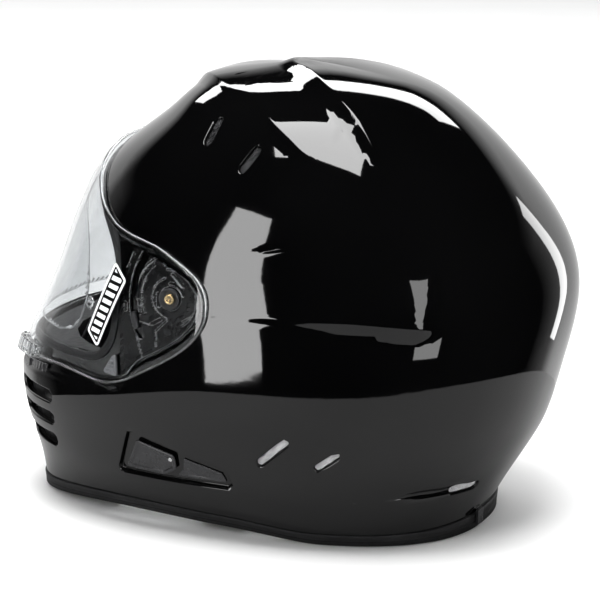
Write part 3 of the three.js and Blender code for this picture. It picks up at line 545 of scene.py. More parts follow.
def rear_taper(k):
    return (0.5 + 0.5 * ease(k / 0.3)) * (1 - ease((k - 0.66) / 0.34))


def side_taper(k):
    return np.clip(k / 0.75, 0, 1) * (1 - ease((k - 0.84) / 0.1))


def nape_taper(k):
    return ease(k / 0.5) * (1 - ease((k - 0.86) / 0.14))


CREST_LEVELS = [-18, -9, -4, -1.2, -0.4, 0, 0.4, 1.2, 3]
GROOVE_LEVELS = [-1.2, 0, 1.2]
# each line with its height, its reach ahead and behind, its taper and where the shell is split along it
CRESTS = [
    (Crest(CREST_FRONT, 2.6, 9, 45, front_taper), CREST_LEVELS),
    (Crest(CREST_REAR, 3.8, 10, 48, rear_taper), CREST_LEVELS),
    (Crest(SIDE_CREASE, 3.0, 11, 42, side_taper), CREST_LEVELS),
    (Crest(NAPE_LINE, -2.0, 2.4, 8, nape_taper), GROOVE_LEVELS),
]
SIDE_GROOVE = ((18, 172.8), (72, 184))
SIDE_GROOVE_DEPTH, SIDE_GROOVE_WIDTH = 0.55, 1.7


def relief(p, n):
    left, facing = to_left(p, n)
    crests = sum(crest.relief(left, facing) for crest, _ in CRESTS)
    # shallow groove over the ears
    a, b = np.array(SIDE_GROOVE)
    k = (left[:, 1:] - a) @ (b - a) / ((b - a) @ (b - a))
    off = np.linalg.norm(left[:, 1:] - a - np.clip(k, 0, 1)[:, None] * (b - a), axis=1)
    depth = SIDE_GROOVE_DEPTH * np.exp(-((off / SIDE_GROOVE_WIDTH) ** 2))
    return crests - depth * ease(k / 0.35) * ease((1 - k) / 0.2) * (left[:, 0] > 60)


class RoundedBox:
    """A field over the surface: distance to a rounded rectangle seen along a horizontal direction."""

    def __init__(self, centre, along, half, tall, rounding, test):
        self.centre, self.along, self.test = np.array(centre, float), np.array(along, float), test
        self.half, self.rounding = np.array([half, tall]) - rounding, rounding

    def __call__(self, p):
        left = np.stack([np.abs(p[:, 0]), p[:, 1], p[:, 2]], 1)
        rel = left - self.centre
        q = np.abs(np.stack([rel[:, :2] @ self.along, rel[:, 2]], 1)) - self.half
        d = np.linalg.norm(np.maximum(q, 0), axis=1) + np.minimum(q.max(1), 0) - self.rounding
        return np.where(self.test(left), d, FAR)


rear_angle = math.radians(REAR_VENT_AZIMUTH)
rear_at = skin(np.array(rear_angle), level_at(rear_angle, REAR_VENT_HEIGHT))
pocket = Outline(POCKET_EDGE)
eyeport = Outline(EYEPORT_EDGE)
lever_recess = Outline(RECESS_EDGE, rounding=3.0, sides=(1,))
vent_slots = [Slot(*vent) for vent in VENTS.values()]
chin_slots = [RoundedBox((80, -132, z), (0, 1), 18, CHIN_SLOT_HEIGHT / 2, 3.2, lambda p: p[:, 1] < -90)
              for z in CHIN_SLOTS]


def rear_box(inset, rounding):
    return RoundedBox(rear_at, (math.sin(rear_angle), -math.cos(rear_angle)), REAR_VENT_WIDTH / 2 - inset,
                      REAR_VENT_TALL / 2 - inset, rounding, lambda p: p[:, 1] > 60)


OPENINGS = vent_slots + chin_slots + [rear_box(0, 2.4)]
LIP, EYEPORT_LIP, RECESS_DEPTH = 0.8, 1.0, 3.0
POCKET_MARGIN, RECESS_MARGIN = 4.5, 4


def drop_at(distance, radius):
    """How far a surface with a rounded lip has fallen at a distance from the hole."""
    k = np.clip(1 - distance / radius, 0, 1)
    return radius * (1 - np.sqrt(np.maximum(1 - k * k, 0)))


def ledge_width(p):
    """Width of the pocket's sloping edge, wider at the low front."""
    return 1.7 + 6.6 * ease((-58 - p[:, 1]) / 16) * ease((104 - p[:, 2]) / 8)


def smoother(k):
    """From 0 to 1 with no kink in slope or bend."""
    return k**3 * (10 - 15 * k + 6 * k * k)


def pocket_share(p):
    """How far the surface has sunk into the visor's pocket, 0 to 1."""
    return smoother(np.clip((0.5 - pocket(p)) / (0.5 + ledge_width(p)), 0, 1))


def shell_height(p, n):
    inside = pocket_share(p)
    h = relief(p, n) * (1 - inside) - POCKET * inside
    h = h - RECESS_DEPTH * smoother(np.clip((0.3 - lever_recess(p)) / 1.6, 0, 1))
    h = h - drop_at(eyeport(p), EYEPORT_LIP)
    for opening in OPENINGS:
        h = h - drop_at(opening(p), LIP)
    return h


def shell_inside(p, n):
    """The inner face, which follows the pocket and the recess a margin outside their edges."""
    pocket_drop = np.where(pocket(p) < POCKET_MARGIN, -SHELL - POCKET, -SHELL)
    return pocket_drop - RECESS_DEPTH * (lever_recess(p) < RECESS_MARGIN)


CREST_REACH = 60
INNER_POINT = np.array([0, 0, 100.0])


def crest_field(crest):
    """The distance to a crest's line as a field, with a rough normal from the middle of the helmet."""
    def value(p):
        left, _ = to_left(p, p)
        d = crest.distance(left, unit(left - INNER_POINT))[0]
        return np.where(np.abs(d) < CREST_REACH, d, FAR)
    return value


def shell_mesh():
    """The shell, split finely where the relief bends, with the eyeport and the vents cut out."""
    mesh = grid(148, 65, lambda a: level_at(a, TRIM_HEIGHT + GAP), 1.0)
    mesh = split(*mesh, Slot(*SIDE_GROOVE, 0), [0.7, 1.5, 2.5, 4])
    for crest, levels in CRESTS:
        mesh = split(*mesh, crest_field(crest), levels + [crest.ahead])
    mesh = split(*mesh, pocket, [0.5, 0.1, -0.4, -1.0, -2.3, -4.5, -6.5, -8.3])
    mesh = split(*mesh, lever_recess, [0.3, -0.1, -0.5, -0.9, -1.3])
    mesh = trimmed(mesh, eyeport, [EYEPORT_LIP, 0.4, 0.12, 0], low=0)
    for opening in OPENINGS:
        mesh = trimmed(mesh, opening, [LIP, LIP * 0.45, LIP * 0.12, 0], low=0)
    return thick_sheet(*mesh, shell_height, shell_inside)


# ---------------------------------------------------------------- putting pieces in the scene


def build(name, points, faces, normals=None, smooth=True):
    """A mesh object from millimetre points; faces may be of any size."""
    mesh = bpy.data.meshes.new(name)
    mesh.from_pydata([tuple(p) for p in np.asarray(points) * MM], [], [tuple(map(int, f)) for f in faces])
    mesh.update()
    for face in mesh.polygons:
        face.use_smooth = smooth
    if normals is not None:
        mesh.normals_split_custom_set_from_vertices([tuple(v) for v in normals])
    obj = bpy.data.objects.new(name, mesh)
    bpy.context.scene.collection.objects.link(obj)
    return obj


def facing_out(obj):
    """Makes all faces of a closed mesh look outward."""
    b = bmesh.new()
    b.from_mesh(obj.data)
    bmesh.ops.recalc_face_normals(b, faces=b.faces)
    b.to_mesh(obj.data)
    b.free()


def add_piece(obj, body, material, replaces=()):
    obj.data.materials.clear()
    obj.data.materials.append(material)
    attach(obj, body)
    if replaces:
        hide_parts(*replaces)
    return obj


def add_mesh(name, mesh, body, material, replaces=(), outward=False):
    """A piece made from (points, faces, normals)."""
    obj = build(name, *mesh)
    if outward:
        facing_out(obj)
    return add_piece(obj, body, material, replaces)


# ---------------------------------------------------------------- materials


class Tree:
    """Small helper round a node tree."""

    def __init__(self, tree):
        self.tree = tree

    def node(self, kind, links=None, **values):
        """A new node with its values and sockets set; in a socket's name an underscore is a space."""
        n = self.tree.nodes.new(kind)
        for key, value in values.items():
            if hasattr(n, key):
                setattr(n, key, value)
            else:
                n.inputs[key.replace("_", " ")].default_value = value
        for key, source in (links or {}).items():
            self.link(source, n.inputs[key])
        return n

    def link(self, source, target):
        self.tree.links.new(source, target)

    def ramp(self, source, stops):
        n = self.node("ShaderNodeValToRGB", {"Fac": source})
        while len(n.color_ramp.elements) < len(stops):
            n.color_ramp.elements.new(0.5)
        for element, (at, value) in zip(n.color_ramp.elements, stops):
            element.position = at
            element.color = (*value, 1) if isinstance(value, tuple) else (value, value, value, 1)
        return n.outputs["Color"]


class Nodes(Tree):
    """The node tree of a new material."""

    def __init__(self, name):
        self.material = bpy.data.materials.new(name)
        self.material.use_nodes = True
        super().__init__(self.material.node_tree)
        self.shader = self.tree.nodes["Principled BSDF"]
        self.place = self.node("ShaderNodeTexCoord").outputs["Object"]

    def noise(self, scale, detail):
        return self.node("ShaderNodeTexNoise", {"Vector": self.place},
                         Scale=scale, Detail=detail, Roughness=0.55).outputs["Fac"]

    def wave(self, direction, pitch, **values):
        """Bands that come again every pitch metres along an axis."""
        return self.node("ShaderNodeTexWave", {"Vector": self.place}, bands_direction=direction,
                         Scale=2 * math.pi / pitch / 20, **values).outputs["Fac"]

    def math(self, operation, a, b):
        n = self.node("ShaderNodeMath", operation=operation)
        for socket, value in zip(n.inputs, (a, b)):
            if isinstance(value, (int, float)):
                socket.default_value = value
            else:
                self.link(value, socket)
        return n.outputs["Value"]

    def blend(self, a, share_a, b, share_b):
        return self.math("ADD", self.math("MULTIPLY", a, share_a), self.math("MULTIPLY", b, share_b))

    def span(self, source, low, high):
        """The source, 0 to 1, brought to a range."""
        return self.node("ShaderNodeMapRange", {"Value": source}, To_Min=low, To_Max=high).outputs["Result"]

    def bump(self, height, distance, strength):
        return self.node("ShaderNodeBump", {"Height": height}, Distance=distance,
                         Strength=strength).outputs["Normal"]

    def finish(self, color, roughness, normal=None, **sockets):
        for source, key in ((color, "Base Color"), (roughness, "Roughness"), (normal, "Normal")):
            if source is not None:
                self.link(source, self.shader.inputs[key])
        for key, value in sockets.items():
            self.shader.inputs[key.replace("_", " ")].default_value = value
        return self.material


BLACK = (0.006, 0.006, 0.0065)


def solid(name, colors, stops, mottle, uneven, rough, grain, depth, strength, **sockets):
    """An opaque surface with mottled colour, uneven roughness and a fine grain.

    mottle, uneven and grain are the scale and detail of a noise; depth is the grain's, in metres.
    """
    m = Nodes(name)
    color = m.ramp(m.noise(*mottle), list(zip(stops, colors)))
    relief_of_grain = m.bump(m.noise(*grain), depth, strength)
    return m.finish(color, m.span(m.noise(*uneven), *rough), relief_of_grain, **sockets)


def gloss_paint(name, dark, light):
    """Deep two-coat gloss with a trace of orange peel and faint handling marks."""
    return solid(name, (dark, light), (0.3, 0.7), (9, 2), (14, 6), (0.02, 0.05), (210, 1), 0.00002, 0.25,
                 Specular_IOR_Level=0.5)


def moulded(name, dark, light, rough=(0.32, 0.5), grain=900, depth=0.00006, shine=0.5):
    """Moulded plastic with a fine grain and slight mottling."""
    return solid(name, (dark, light), (0.25, 0.8), (40, 4), (120, 5), rough, (grain, 2), depth, 0.5,
                 Specular_IOR_Level=shine)


def rubber(name, dark, light):
    return solid(name, (dark, light), (0.3, 0.75), (60, 6), (200, 4), (0.5, 0.72), (1500, 3), 0.00008, 0.6,
                 Specular_IOR_Level=0.35)


def metal(name, dark, light, rough=(0.18, 0.36)):
    return solid(name, (dark, light), (0.3, 0.75), (90, 3), (700, 4), rough, (700, 4), 0.00002, 0.4,
                 Metallic=1.0)


def woven(name, dark, light, pitch=1.1, sheen=0.35, rough=(0.75, 0.95)):
    """Knitted or woven cloth: two crossed waves of yarn, with fuzz."""
    m = Nodes(name)
    x, y, z = [m.wave(axis, pitch * MM, Distortion=0.6, Detail=1.0) for axis in "XYZ"]
    weave = m.math("ADD", m.math("MULTIPLY", x, y), m.math("MULTIPLY", z, 0.5))
    fuzz = m.noise(2600, 4)
    height = m.math("ADD", weave, m.math("MULTIPLY", fuzz, 0.5))
    shade = m.blend(weave, 0.45, m.noise(25, 4), 0.55)
    color = m.ramp(shade, [(0.2, dark), (0.75, light)])
    return m.finish(color, m.span(fuzz, *rough), m.bump(height, 0.00035, 0.7),
                    Sheen_Weight=sheen, Sheen_Roughness=0.4, Specular_IOR_Level=0.25)


def foam(name, dark, light):
    """Expanded bead foam: packed round cells."""
    m = Nodes(name)
    bead = m.node("ShaderNodeTexVoronoi", {"Vector": m.place}, feature="SMOOTH_F1",
                  Scale=320).outputs["Distance"]
    color = m.ramp(m.blend(bead, 0.5, m.noise(30, 3), 0.4), [(0.15, light), (0.7, dark)])
    return m.finish(color, m.span(bead, 0.6, 0.85), m.bump(bead, -0.0004, 0.6), Specular_IOR_Level=0.3)


def glass(name, dark, light, rough=(0.0, 0.012), ior=1.02, coat=1.0):
    """Clear moulded sheet that lamps shine through; its gloss is a coat on the outer face."""
    m = Nodes(name)
    m.finish(m.ramp(m.noise(12, 2), [(0.3, dark), (0.8, light)]), m.span(m.noise(22, 6), *rough),
             Transmission_Weight=1.0, IOR=ior, Coat_Weight=coat, Coat_Roughness=0.01)
    mix = m.node("ShaderNodeMixShader", {
        0: m.node("ShaderNodeLightPath").outputs["Is Shadow Ray"],
        1: m.shader.outputs[0],
        2: m.node("ShaderNodeBsdfTransparent").outputs[0]})
    m.link(mix.outputs[0], m.tree.nodes["Material Output"].inputs["Surface"])
    return m.material


# ---------------------------------------------------------------- camera, light and floor

VIEW_TURN, VIEW_RISE, VIEW_ROLL = math.radians(23), math.radians(13.34), math.radians(0.73)
VIEW_DISTANCE = 1.5
VIEW_TARGET = np.array([0, 2.3, 119.1]) * MM
VIEW_SHIFT = np.array([-0.935, 0.645]) * MM
LENS, SENSOR = 152.1, 36.0


def make_camera():
    ct, st, ce, se = math.cos(VIEW_TURN), math.sin(VIEW_TURN), math.cos(VIEW_RISE), math.sin(VIEW_RISE)
    back = np.array([ct * ce, st * ce, se])
    right = np.array([-st, ct, 0.0])
    up = np.cross(back, right)
    at = VIEW_TARGET + back * VIEW_DISTANCE + right * VIEW_SHIFT[0] + up * VIEW_SHIFT[1]
    a = VIEW_ROLL
    rolled_right = right * math.cos(a) + up * math.sin(a)
    rolled_up = up * math.cos(a) - right * math.sin(a)
    data = bpy.data.cameras.new("camera")
    data.lens, data.sensor_width = LENS, SENSOR
    data.clip_start, data.clip_end = 0.05, 60
    camera = bpy.data.objects.new("camera", data)
    camera.matrix_world = Matrix([
        [*pair, where] for pair, where in zip(np.stack([rolled_right, rolled_up, back], 1).tolist(), at)
    ] + [[0, 0, 0, 1]])
    bpy.context.scene.collection.objects.link(camera)
    bpy.context.scene.camera = camera


def lamp(name, at, aim, size, radiance, gloss=True):
    """A soft panel that the camera doesn't see."""
    data = bpy.data.lights.new(name, "AREA")
    data.shape = "RECTANGLE"
    data.size, data.size_y = size
    data.energy = radiance * math.pi * size[0] * size[1]
    obj = bpy.data.objects.new(name, data)
    obj.location = at
    obj.rotation_euler = (Vector(aim) - Vector(at)).to_track_quat("-Z", "Y").to_euler()
    obj.visible_camera = False
    obj.visible_glossy = gloss
    bpy.context.scene.collection.objects.link(obj)


def polar(azimuth, distance, z):
    a = math.radians(azimuth)
    return (distance * math.cos(a), distance * math.sin(a), z)


BACKDROP_AZIMUTH = -157


def make_studio():
    # side softbox, two tall narrow strips, the room's own light, long box high behind, overhead panel
    lamp("side_box", polar(-17.8, 1.4, 0.33), (0, 0, 0.33), (0.33, 1.7), 8.6)
    lamp("rear_strip", polar(50, 1.4, 0.1), (0, 0, 0.1), (0.3, 1.3), 4.6)
    lamp("far_strip", polar(150, 1.5, 0.15), (0, 0, 0.15), (0.19, 1.2), 5.0)
    lamp("room", (0, 0, 4.5), (0, 0, 0), (10, 10), 0.95, gloss=False)
    lamp("far_box", polar(-160, 2.2, 1.8), (0, 0, 0.15), (3.0, 0.5), 8.0)
    lamp("top_box", (0.25, 0.05, 1.6), (0.05, 0.02, 0.1), (0.85, 0.85), 13.0)
    world = bpy.data.worlds.new("studio")
    world.use_nodes = True
    bpy.context.scene.world = world
    bpy.context.scene.view_settings.view_transform = "Standard"
    # pale backdrop far behind the object, dark room round the camera
    tree = Tree(world.node_tree)
    place = tree.node("ShaderNodeTexCoord").outputs["Generated"]
    facing = tree.node("ShaderNodeVectorMath", {0: place}, operation="DOT_PRODUCT")
    facing.inputs[1].default_value = polar(BACKDROP_AZIMUTH, 1, 0)
    glow = tree.ramp(facing.outputs["Value"], [(0.3, 0.0), (0.6, 0.3), (0.72, 0.95)])
    height = tree.node("ShaderNodeSeparateXYZ", {0: place}).outputs["Z"]
    low = tree.ramp(height, [(0.3, 1.0), (0.42, 0.0)])
    masked = tree.node("ShaderNodeMix", {"A": glow, "B": low}, data_type="RGBA", blend_type="MULTIPLY",
                       Factor=1.0)
    seen = tree.node("ShaderNodeLightPath").outputs["Is Camera Ray"]
    mix = tree.node("ShaderNodeMix", {"Factor": seen, "A": masked.outputs["Result"]}, data_type="RGBA",
                    B=(1.0, 1.0, 1.0, 1))
    tree.link(mix.outputs["Result"], tree.tree.nodes["Background"].inputs["Color"])


def floor_disc(name, radius, z, steps=96):
    around = np.linspace(0, 2 * math.pi, steps, endpoint=False)
    points = [(0, 0, z)] + [(radius * math.cos(a), radius * math.sin(a), z) for a in around]
    faces = [(0, 1 + i, 1 + (i + 1) % steps) for i in range(steps)]
    return build(name, np.array(points) / MM, faces, smooth=False)


def paper(name, dark, light, **sockets):
    m = Nodes(name)
    color = m.ramp(m.noise(3, 3), [(0.3, dark), (0.7, light)])
    return m.finish(color, m.span(m.noise(60, 3), 0.8, 0.9), **sockets)


def make_floor():
    """The floor, and under the object a darker disc that only reflections see: painted shade that stands for
    the floor in the object's shadow.
    """
    low = CAD_BOX[0][2]
    wide = floor_disc("floor", 12.0, low - 0.0004)
    wide.data.materials.append(paper("floor_paper", 0.93, 0.96, Specular_IOR_Level=0.1))
    wide.visible_glossy = False
    # painted shade: a darker disc in place of the shaded floor under the helmet, seen only in reflections
    near = floor_disc("painted_shade_floor", 0.3, low - 0.0002)
    near.data.materials.append(paper("painted_shade_floor_paper", 0.36, 0.42))
    near.visible_camera = False
    near.visible_diffuse = False
    near.visible_shadow = False


make_camera()
make_studio()
make_floor()

# ---------------------------------------------------------------- outer shell

PAINT = gloss_paint("black_gloss_paint", (0.0008, 0.0008, 0.0009), (0.0018, 0.0018, 0.0019))
add_mesh("shell_painted", shell_mesh(), "helmet", PAINT, ["outer_shell"])


# ---------------------------------------------------------------- plates that follow the surface


def height_field(value):
    """A height over the surface from a number, or the given function as it is."""
    return value if callable(value) else lambda p, n: np.full(len(p), float(value))


def mirrored(mesh):
    points, faces, normals = mesh
    flip = np.array([-1.0, 1, 1])
    return points * flip, [tuple(reversed(f)) for f in faces], None if normals is None else normals * flip


def plate(mesh, field, top, bottom, lip=0.5, extra=()):
    """A thin part with rounded edges: mesh is (uv, triangles); field is negative inside it."""
    for other, levels in extra:
        mesh = split(*mesh, other, levels)
    mesh = trimmed(mesh, field, [-lip, -0.5 * lip, -0.15 * lip, 0], high=0)
    top = height_field(top)
    return thick_sheet(*mesh, lambda p, n: top(p, n) - drop_at(-field(p), lip), height_field(bottom))


class Within:
    """A field that keeps another one between two values of |x|."""

    def __init__(self, field, low, high):
        self.field, self.low, self.high = field, low, high

    def __call__(self, p):
        x = np.abs(p[:, 0])
        return np.maximum.reduce([self.field(p), self.low - x, x - self.high])


class Minus:
    """A field with another one's inside taken out."""

    def __init__(self, field, hole):
        self.field, self.hole = field, hole

    def __call__(self, p):
        return np.maximum(self.field(p), -self.hole(p))


class Arc:
    """Distance to a round-ended arc in the side view, angles in degrees from +Y towards +Z."""

    def __init__(self, centre, radius, start, end, width):
        self.centre, self.radius, self.half = np.array(centre, float), radius, width / 2
        self.start, self.end = math.radians(start), math.radians(end)

    def __call__(self, p):
        rel = p[:, 1:] - self.centre
        mid = (self.start + self.end) / 2
        angle = (np.arctan2(rel[:, 1], rel[:, 0]) - mid + math.pi) % (2 * math.pi) - math.pi
        held = np.clip(angle, self.start - mid, self.end - mid) + mid
        nearest = self.radius * np.stack([np.cos(held), np.sin(held)], 1)
        return np.linalg.norm(rel - nearest, axis=1) - self.half


def raised(fields, height, soft=0.35):
    """One plateau over all the fields; a negative height sinks it."""
    def value(p):
        share = np.zeros(len(p))
        for field in fields:
            share = np.maximum(share, ease((soft - field(p)) / (2 * soft)))
        return share * height
    return value


# ---------------------------------------------------------------- visor


def visor_share(p):
    return np.maximum(ease((p[:, 2] - 135) / 40), ease((p[:, 1] + 95) / 45))


def visor_height(p, n=None):
    """Height of the visor's outer face: low at the chin, proud higher up and towards the ears."""
    return VISOR_LOW + (VISOR_PROUD - VISOR_LOW) * visor_share(p)


def over_visor(lift):
    """Height field at a distance from the visor's outer face."""
    return lambda p, n: visor_height(p) + lift


CLEAR = glass("clear_visor", (0.69, 0.705, 0.715), (0.74, 0.75, 0.76))
CLEAR_INSIDE = glass("clear_inside", (0.79, 0.8, 0.805), (0.82, 0.83, 0.83), coat=0.0)
CLEAR_EDGE = glass("clear_edge", (0.7, 0.72, 0.73), (0.88, 0.89, 0.9), (0.15, 0.3), ior=1.5, coat=0.0)


def centres_of(mesh):
    return np.array([face.center[:] for face in mesh.polygons]) / MM


MIDDLE = (0, 0, 110)  # a point inside the helmet


def sort_faces(obj, field, lip):
    """Second slot for faces that look inward, third for the edge band of a clear sheet."""
    for extra in (CLEAR_INSIDE, CLEAR_EDGE):
        obj.data.materials.append(extra)
    centres = centres_of(obj.data)
    facing = np.array([face.normal[:] for face in obj.data.polygons])
    inward = (facing * (centres - MIDDLE)).sum(1) < 0
    edge = field(centres) > -lip
    for face, index in zip(obj.data.polygons, np.where(edge, 2, np.where(inward, 1, 0))):
        face.material_index = int(index)


visor_outline = Outline(VISOR_EDGE)
visor_mesh = plate(grid(236, 60, 0.22, 0.9), visor_outline, visor_height, over_visor(-VISOR_THICK), lip=1.3)
visor = add_mesh("visor_clear", visor_mesh, "shield", CLEAR, ["face_shield"])
sort_faces(visor, visor_outline, 1.27)

TAB_EDGE = [(-178, 84.8), (-178, 91), (-140, 97), (-112, 97.5), (-112, 91.6)]


TAB_FROM, TAB_TO, TAB_RIB_PITCH = 52, 86, 3.2


def tab_height(p, n):
    """A bulge across the tab with fine ribs over it."""
    across = (np.abs(p[:, 0]) - TAB_FROM) / (TAB_TO - TAB_FROM)
    ribs = 0.35 * np.abs(np.sin(p[:, 0] * math.pi / TAB_RIB_PITCH))
    return 1.4 + 3.4 * np.sin(math.pi * np.clip(across * 0.9 + 0.08, 0, 1)) ** 0.6 + ribs


tab_field = Within(Outline(TAB_EDGE, rounding=1.5, sides=(1,)), TAB_FROM, TAB_TO)
tab_mesh = plate(local_grid((-160, -100, 83, 99), 0.8), tab_field, tab_height, over_visor(-0.6), lip=1.0)
TAB = glass("clear_tab", (0.86, 0.88, 0.88), (0.93, 0.94, 0.94), (0.05, 0.15), ior=1.45, coat=0.0)
add_mesh("visor_lift_tab", tab_mesh, "shield", TAB)

# printed label: a rounded oblong with a pale border and plain slanted bars
LABEL_EDGE = [(-81.6, 117.3), (-60.2, 159.4), (-50.8, 150.4), (-72.6, 108.8)]
label_field = Outline(LABEL_EDGE, rounding=2.2, sides=(1,))
LABEL_AREA = (-84, -50, 108, 159)
LABEL_BORDER = 2.7
BAR_PITCH, BAR_SHARE, BAR_SLANT = 5.0, 0.56, 0.35
label_axis = unit(np.subtract(LABEL_EDGE[1], LABEL_EDGE[0]))


def label_mesh(low, high, lift):
    mesh = trimmed(local_grid(LABEL_AREA, 1.1), label_field, [low, high], low, high)
    return thick_sheet(*mesh, over_visor(lift), over_visor(0.01))


def bars(p):
    """A field of slanted bars of even pitch along the label."""
    rel = p[:, 1:] - np.array(LABEL_EDGE[0])
    along, across = rel @ label_axis, rel @ np.array([-label_axis[1], label_axis[0]])
    phase = ((along + BAR_SLANT * across) / BAR_PITCH) % 1 - 0.5
    return (np.abs(phase) - BAR_SHARE / 2) * BAR_PITCH


def bars_mesh():
    mesh = trimmed(local_grid(LABEL_AREA, 0.8), label_field, [-LABEL_BORDER], high=-LABEL_BORDER)
    return thick_sheet(*trimmed(mesh, bars, [0], high=0), over_visor(0.09), over_visor(0.03))


INK = moulded("label_ink", (0.004, 0.004, 0.0045), (0.009, 0.009, 0.0095), rough=(0.2, 0.3), grain=400)
WHITE_INK = moulded("label_white", (0.78, 0.78, 0.78), (0.86, 0.86, 0.86), rough=(0.25, 0.35), grain=400)
add_mesh("label_ground", label_mesh(-FAR, -0.9, 0.05), "shield", INK)
add_mesh("label_border", label_mesh(-1.5, 0, 0.08), "shield", WHITE_INK)
add_mesh("label_bars", bars_mesh(), "shield", WHITE_INK)

INSERT_EDGE = [(AHEAD, 192), (-112, 192), (-104, 182), (-92, 168), (-88, 150), (-88, 132), (-96, 116),
               (-112, 111), (AHEAD, 111)]
INSERT_THICK = 0.9
insert_top = -VISOR_THICK - GAP
insert_mesh = plate(grid(180, 40, 0.3, 0.78), Outline(INSERT_EDGE), over_visor(insert_top),
                    over_visor(insert_top - INSERT_THICK), lip=0.3)
INSERT = glass("clear_insert", (0.93, 0.94, 0.95), (0.96, 0.96, 0.97), coat=0.3)
insert = add_mesh("insert_clear", insert_mesh, "shield", INSERT, ["anti_fog_insert"])
sort_faces(insert, Outline(INSERT_EDGE), 0.29)

# ---------------------------------------------------------------- gasket, side plates and their levers

RUBBER = rubber("black_rubber", BLACK, (0.016, 0.016, 0.017))
PLASTIC = moulded("black_moulding", BLACK, (0.014, 0.014, 0.015))
SATIN = moulded("satin_moulding", (0.01, 0.01, 0.011), (0.022, 0.022, 0.024), rough=(0.2, 0.34), grain=500)
gasket_field = Minus(Outline(GASKET_EDGE), eyeport)
GASKET_TOP, GASKET_BOTTOM = -3.45, -3.75


def gasket_height(p, n):
    """Two beads round the eyeport, the inner one larger."""
    d = eyeport(p)
    bead = 0.75 * np.exp(-(((d - 1.6) / 1.1) ** 2)) + 0.45 * np.exp(-(((d - 5) / 0.8) ** 2))
    return GASKET_TOP + bead


gasket_mesh = plate(grid(220, 56, 0.24, 0.86), gasket_field, gasket_height, GASKET_BOTTOM, lip=0.25,
                    extra=[(eyeport, [0.6, 1.1, 1.6, 2.1, 2.8, 4.2, 5, 5.8])])
add_mesh("eyeport_seal", gasket_mesh, "helmet", RUBBER, ["eyeport_gasket"])

BOSS = (BOSS_Y, BOSS_Z)
RIBS = [Arc(BOSS, 23.5, 118, 205, 1.3), Arc(BOSS, 19, 150, 212, 1.1), Arc(BOSS, 11.5, 110, 260, 1.2),
        Arc(BOSS, 16.2, -62, 100, 1.0), Slot((-41.2, 167.4), (-46.9, 156.8), 1.2),
        Slot((-32.2, 171), (-32.4, 166), 0.9), Slot((-32.4, 166), (-29.2, 161.5), 0.9),
        Slot((-47, 120), (-43.5, 108), 1.1), Slot((-26.6, 131), (-33.9, 124), 1.2),
        Slot((-33.9, 124), (-34, 115.5), 1.1), Slot((-11, 135), (-16.5, 131.8), 1.0),
        Slot((-47.5, 128), (-38.5, 127), 1.0), Slot((-52, 165), (-55.5, 157), 0.9)]
WELLS = [Arc(BOSS, 21.2, 126, 196, 2.4), Slot((-32.5, 145.3), (-32.1, 139), 2.6),
         Slot((-46.2, 139), (-45.6, 133), 3.0), Slot((-55.3, 137), (-55.1, 133), 2.0),
         Arc(BOSS, 8.4, 20, 92, 2.0), Slot((-23.5, 157), (-17, 151.5), 2.2),
         Slot((-31, 131), (-36.5, 128), 2.2)]
shoe_slot = Arc((TRACK_Y, TRACK_Z), TRACK_RADIUS, TRACK_FROM, TRACK_TO, TRACK_WIDTH)
FAN_PITCH = 9.0  # degrees


def fan(p):
    """A field of low ribs that fan out in the plate's rear lower corner."""
    rel = p[:, 1:] - np.array(BOSS)
    radius = np.linalg.norm(rel, axis=1)
    angle = np.degrees(np.arctan2(rel[:, 1], rel[:, 0]))
    stripe = (np.abs(((angle / FAN_PITCH) % 1) - 0.5) - 0.25) * FAN_PITCH * np.radians(1) * radius
    return np.maximum.reduce([stripe, 11 - radius, np.abs(angle + 40) - 52])


def disc(width):
    """A round field about the boss."""
    return Arc(BOSS, 0.01, 0, 1, width)


dish = disc(13.5)
base_outline = Outline(BASE_EDGE, sides=(1,))
rib_relief, well_relief, fan_relief = raised(RIBS, 1.0, 0.2), raised(WELLS, -1.5, 0.2), raised([fan], 0.45)
BASE_TOP, BASE_BOTTOM, BASE_RIM = -2.5, -3.7, 0.5


def base_height(p, n):
    """A flat plate with a raised rim, ribs, wells, the fan and a dish round the boss."""
    rim = BASE_RIM * ease(base_outline(p) + 2.6)
    sunk = -1.5 * ease((0.8 - dish(p)) / 1.6)
    return BASE_TOP + rim + rib_relief(p) + fan_relief(p) + well_relief(p) * 0.75 + sunk


base_field = Minus(Minus(base_outline, disc(5.2)), shoe_slot)
split_fields = [(field, [-0.2, 0.2]) for field in RIBS + WELLS]
split_fields += [(shoe_slot, [-0.35, 0.35]), (fan, [-0.35, 0.35]), (dish, [-0.8, 0, 0.8])]
base_mesh = plate(local_grid((-62, -5, 92, 171), 0.95), base_field, base_height, BASE_BOTTOM, lip=0.4,
                  extra=split_fields)
BASE = moulded("base_moulding", (0.003, 0.003, 0.0032), (0.008, 0.008, 0.0085), rough=(0.2, 0.32),
               depth=0.00002, shine=0.16)


def pair(name, mesh, body, material, slot, node):
    """The left piece and its mirror image, each standing for the CAD node of its side."""
    bodies = body if isinstance(body, tuple) else (body, body)
    for side, data, owner in zip(SIDES, (mesh, mirrored(mesh)), bodies):
        add_mesh(f"{name}_{side}", data, owner, material, [f"{node}_{side}"])


pair("side_plate", base_mesh, "helmet", BASE, "mechanism", "visor_base")
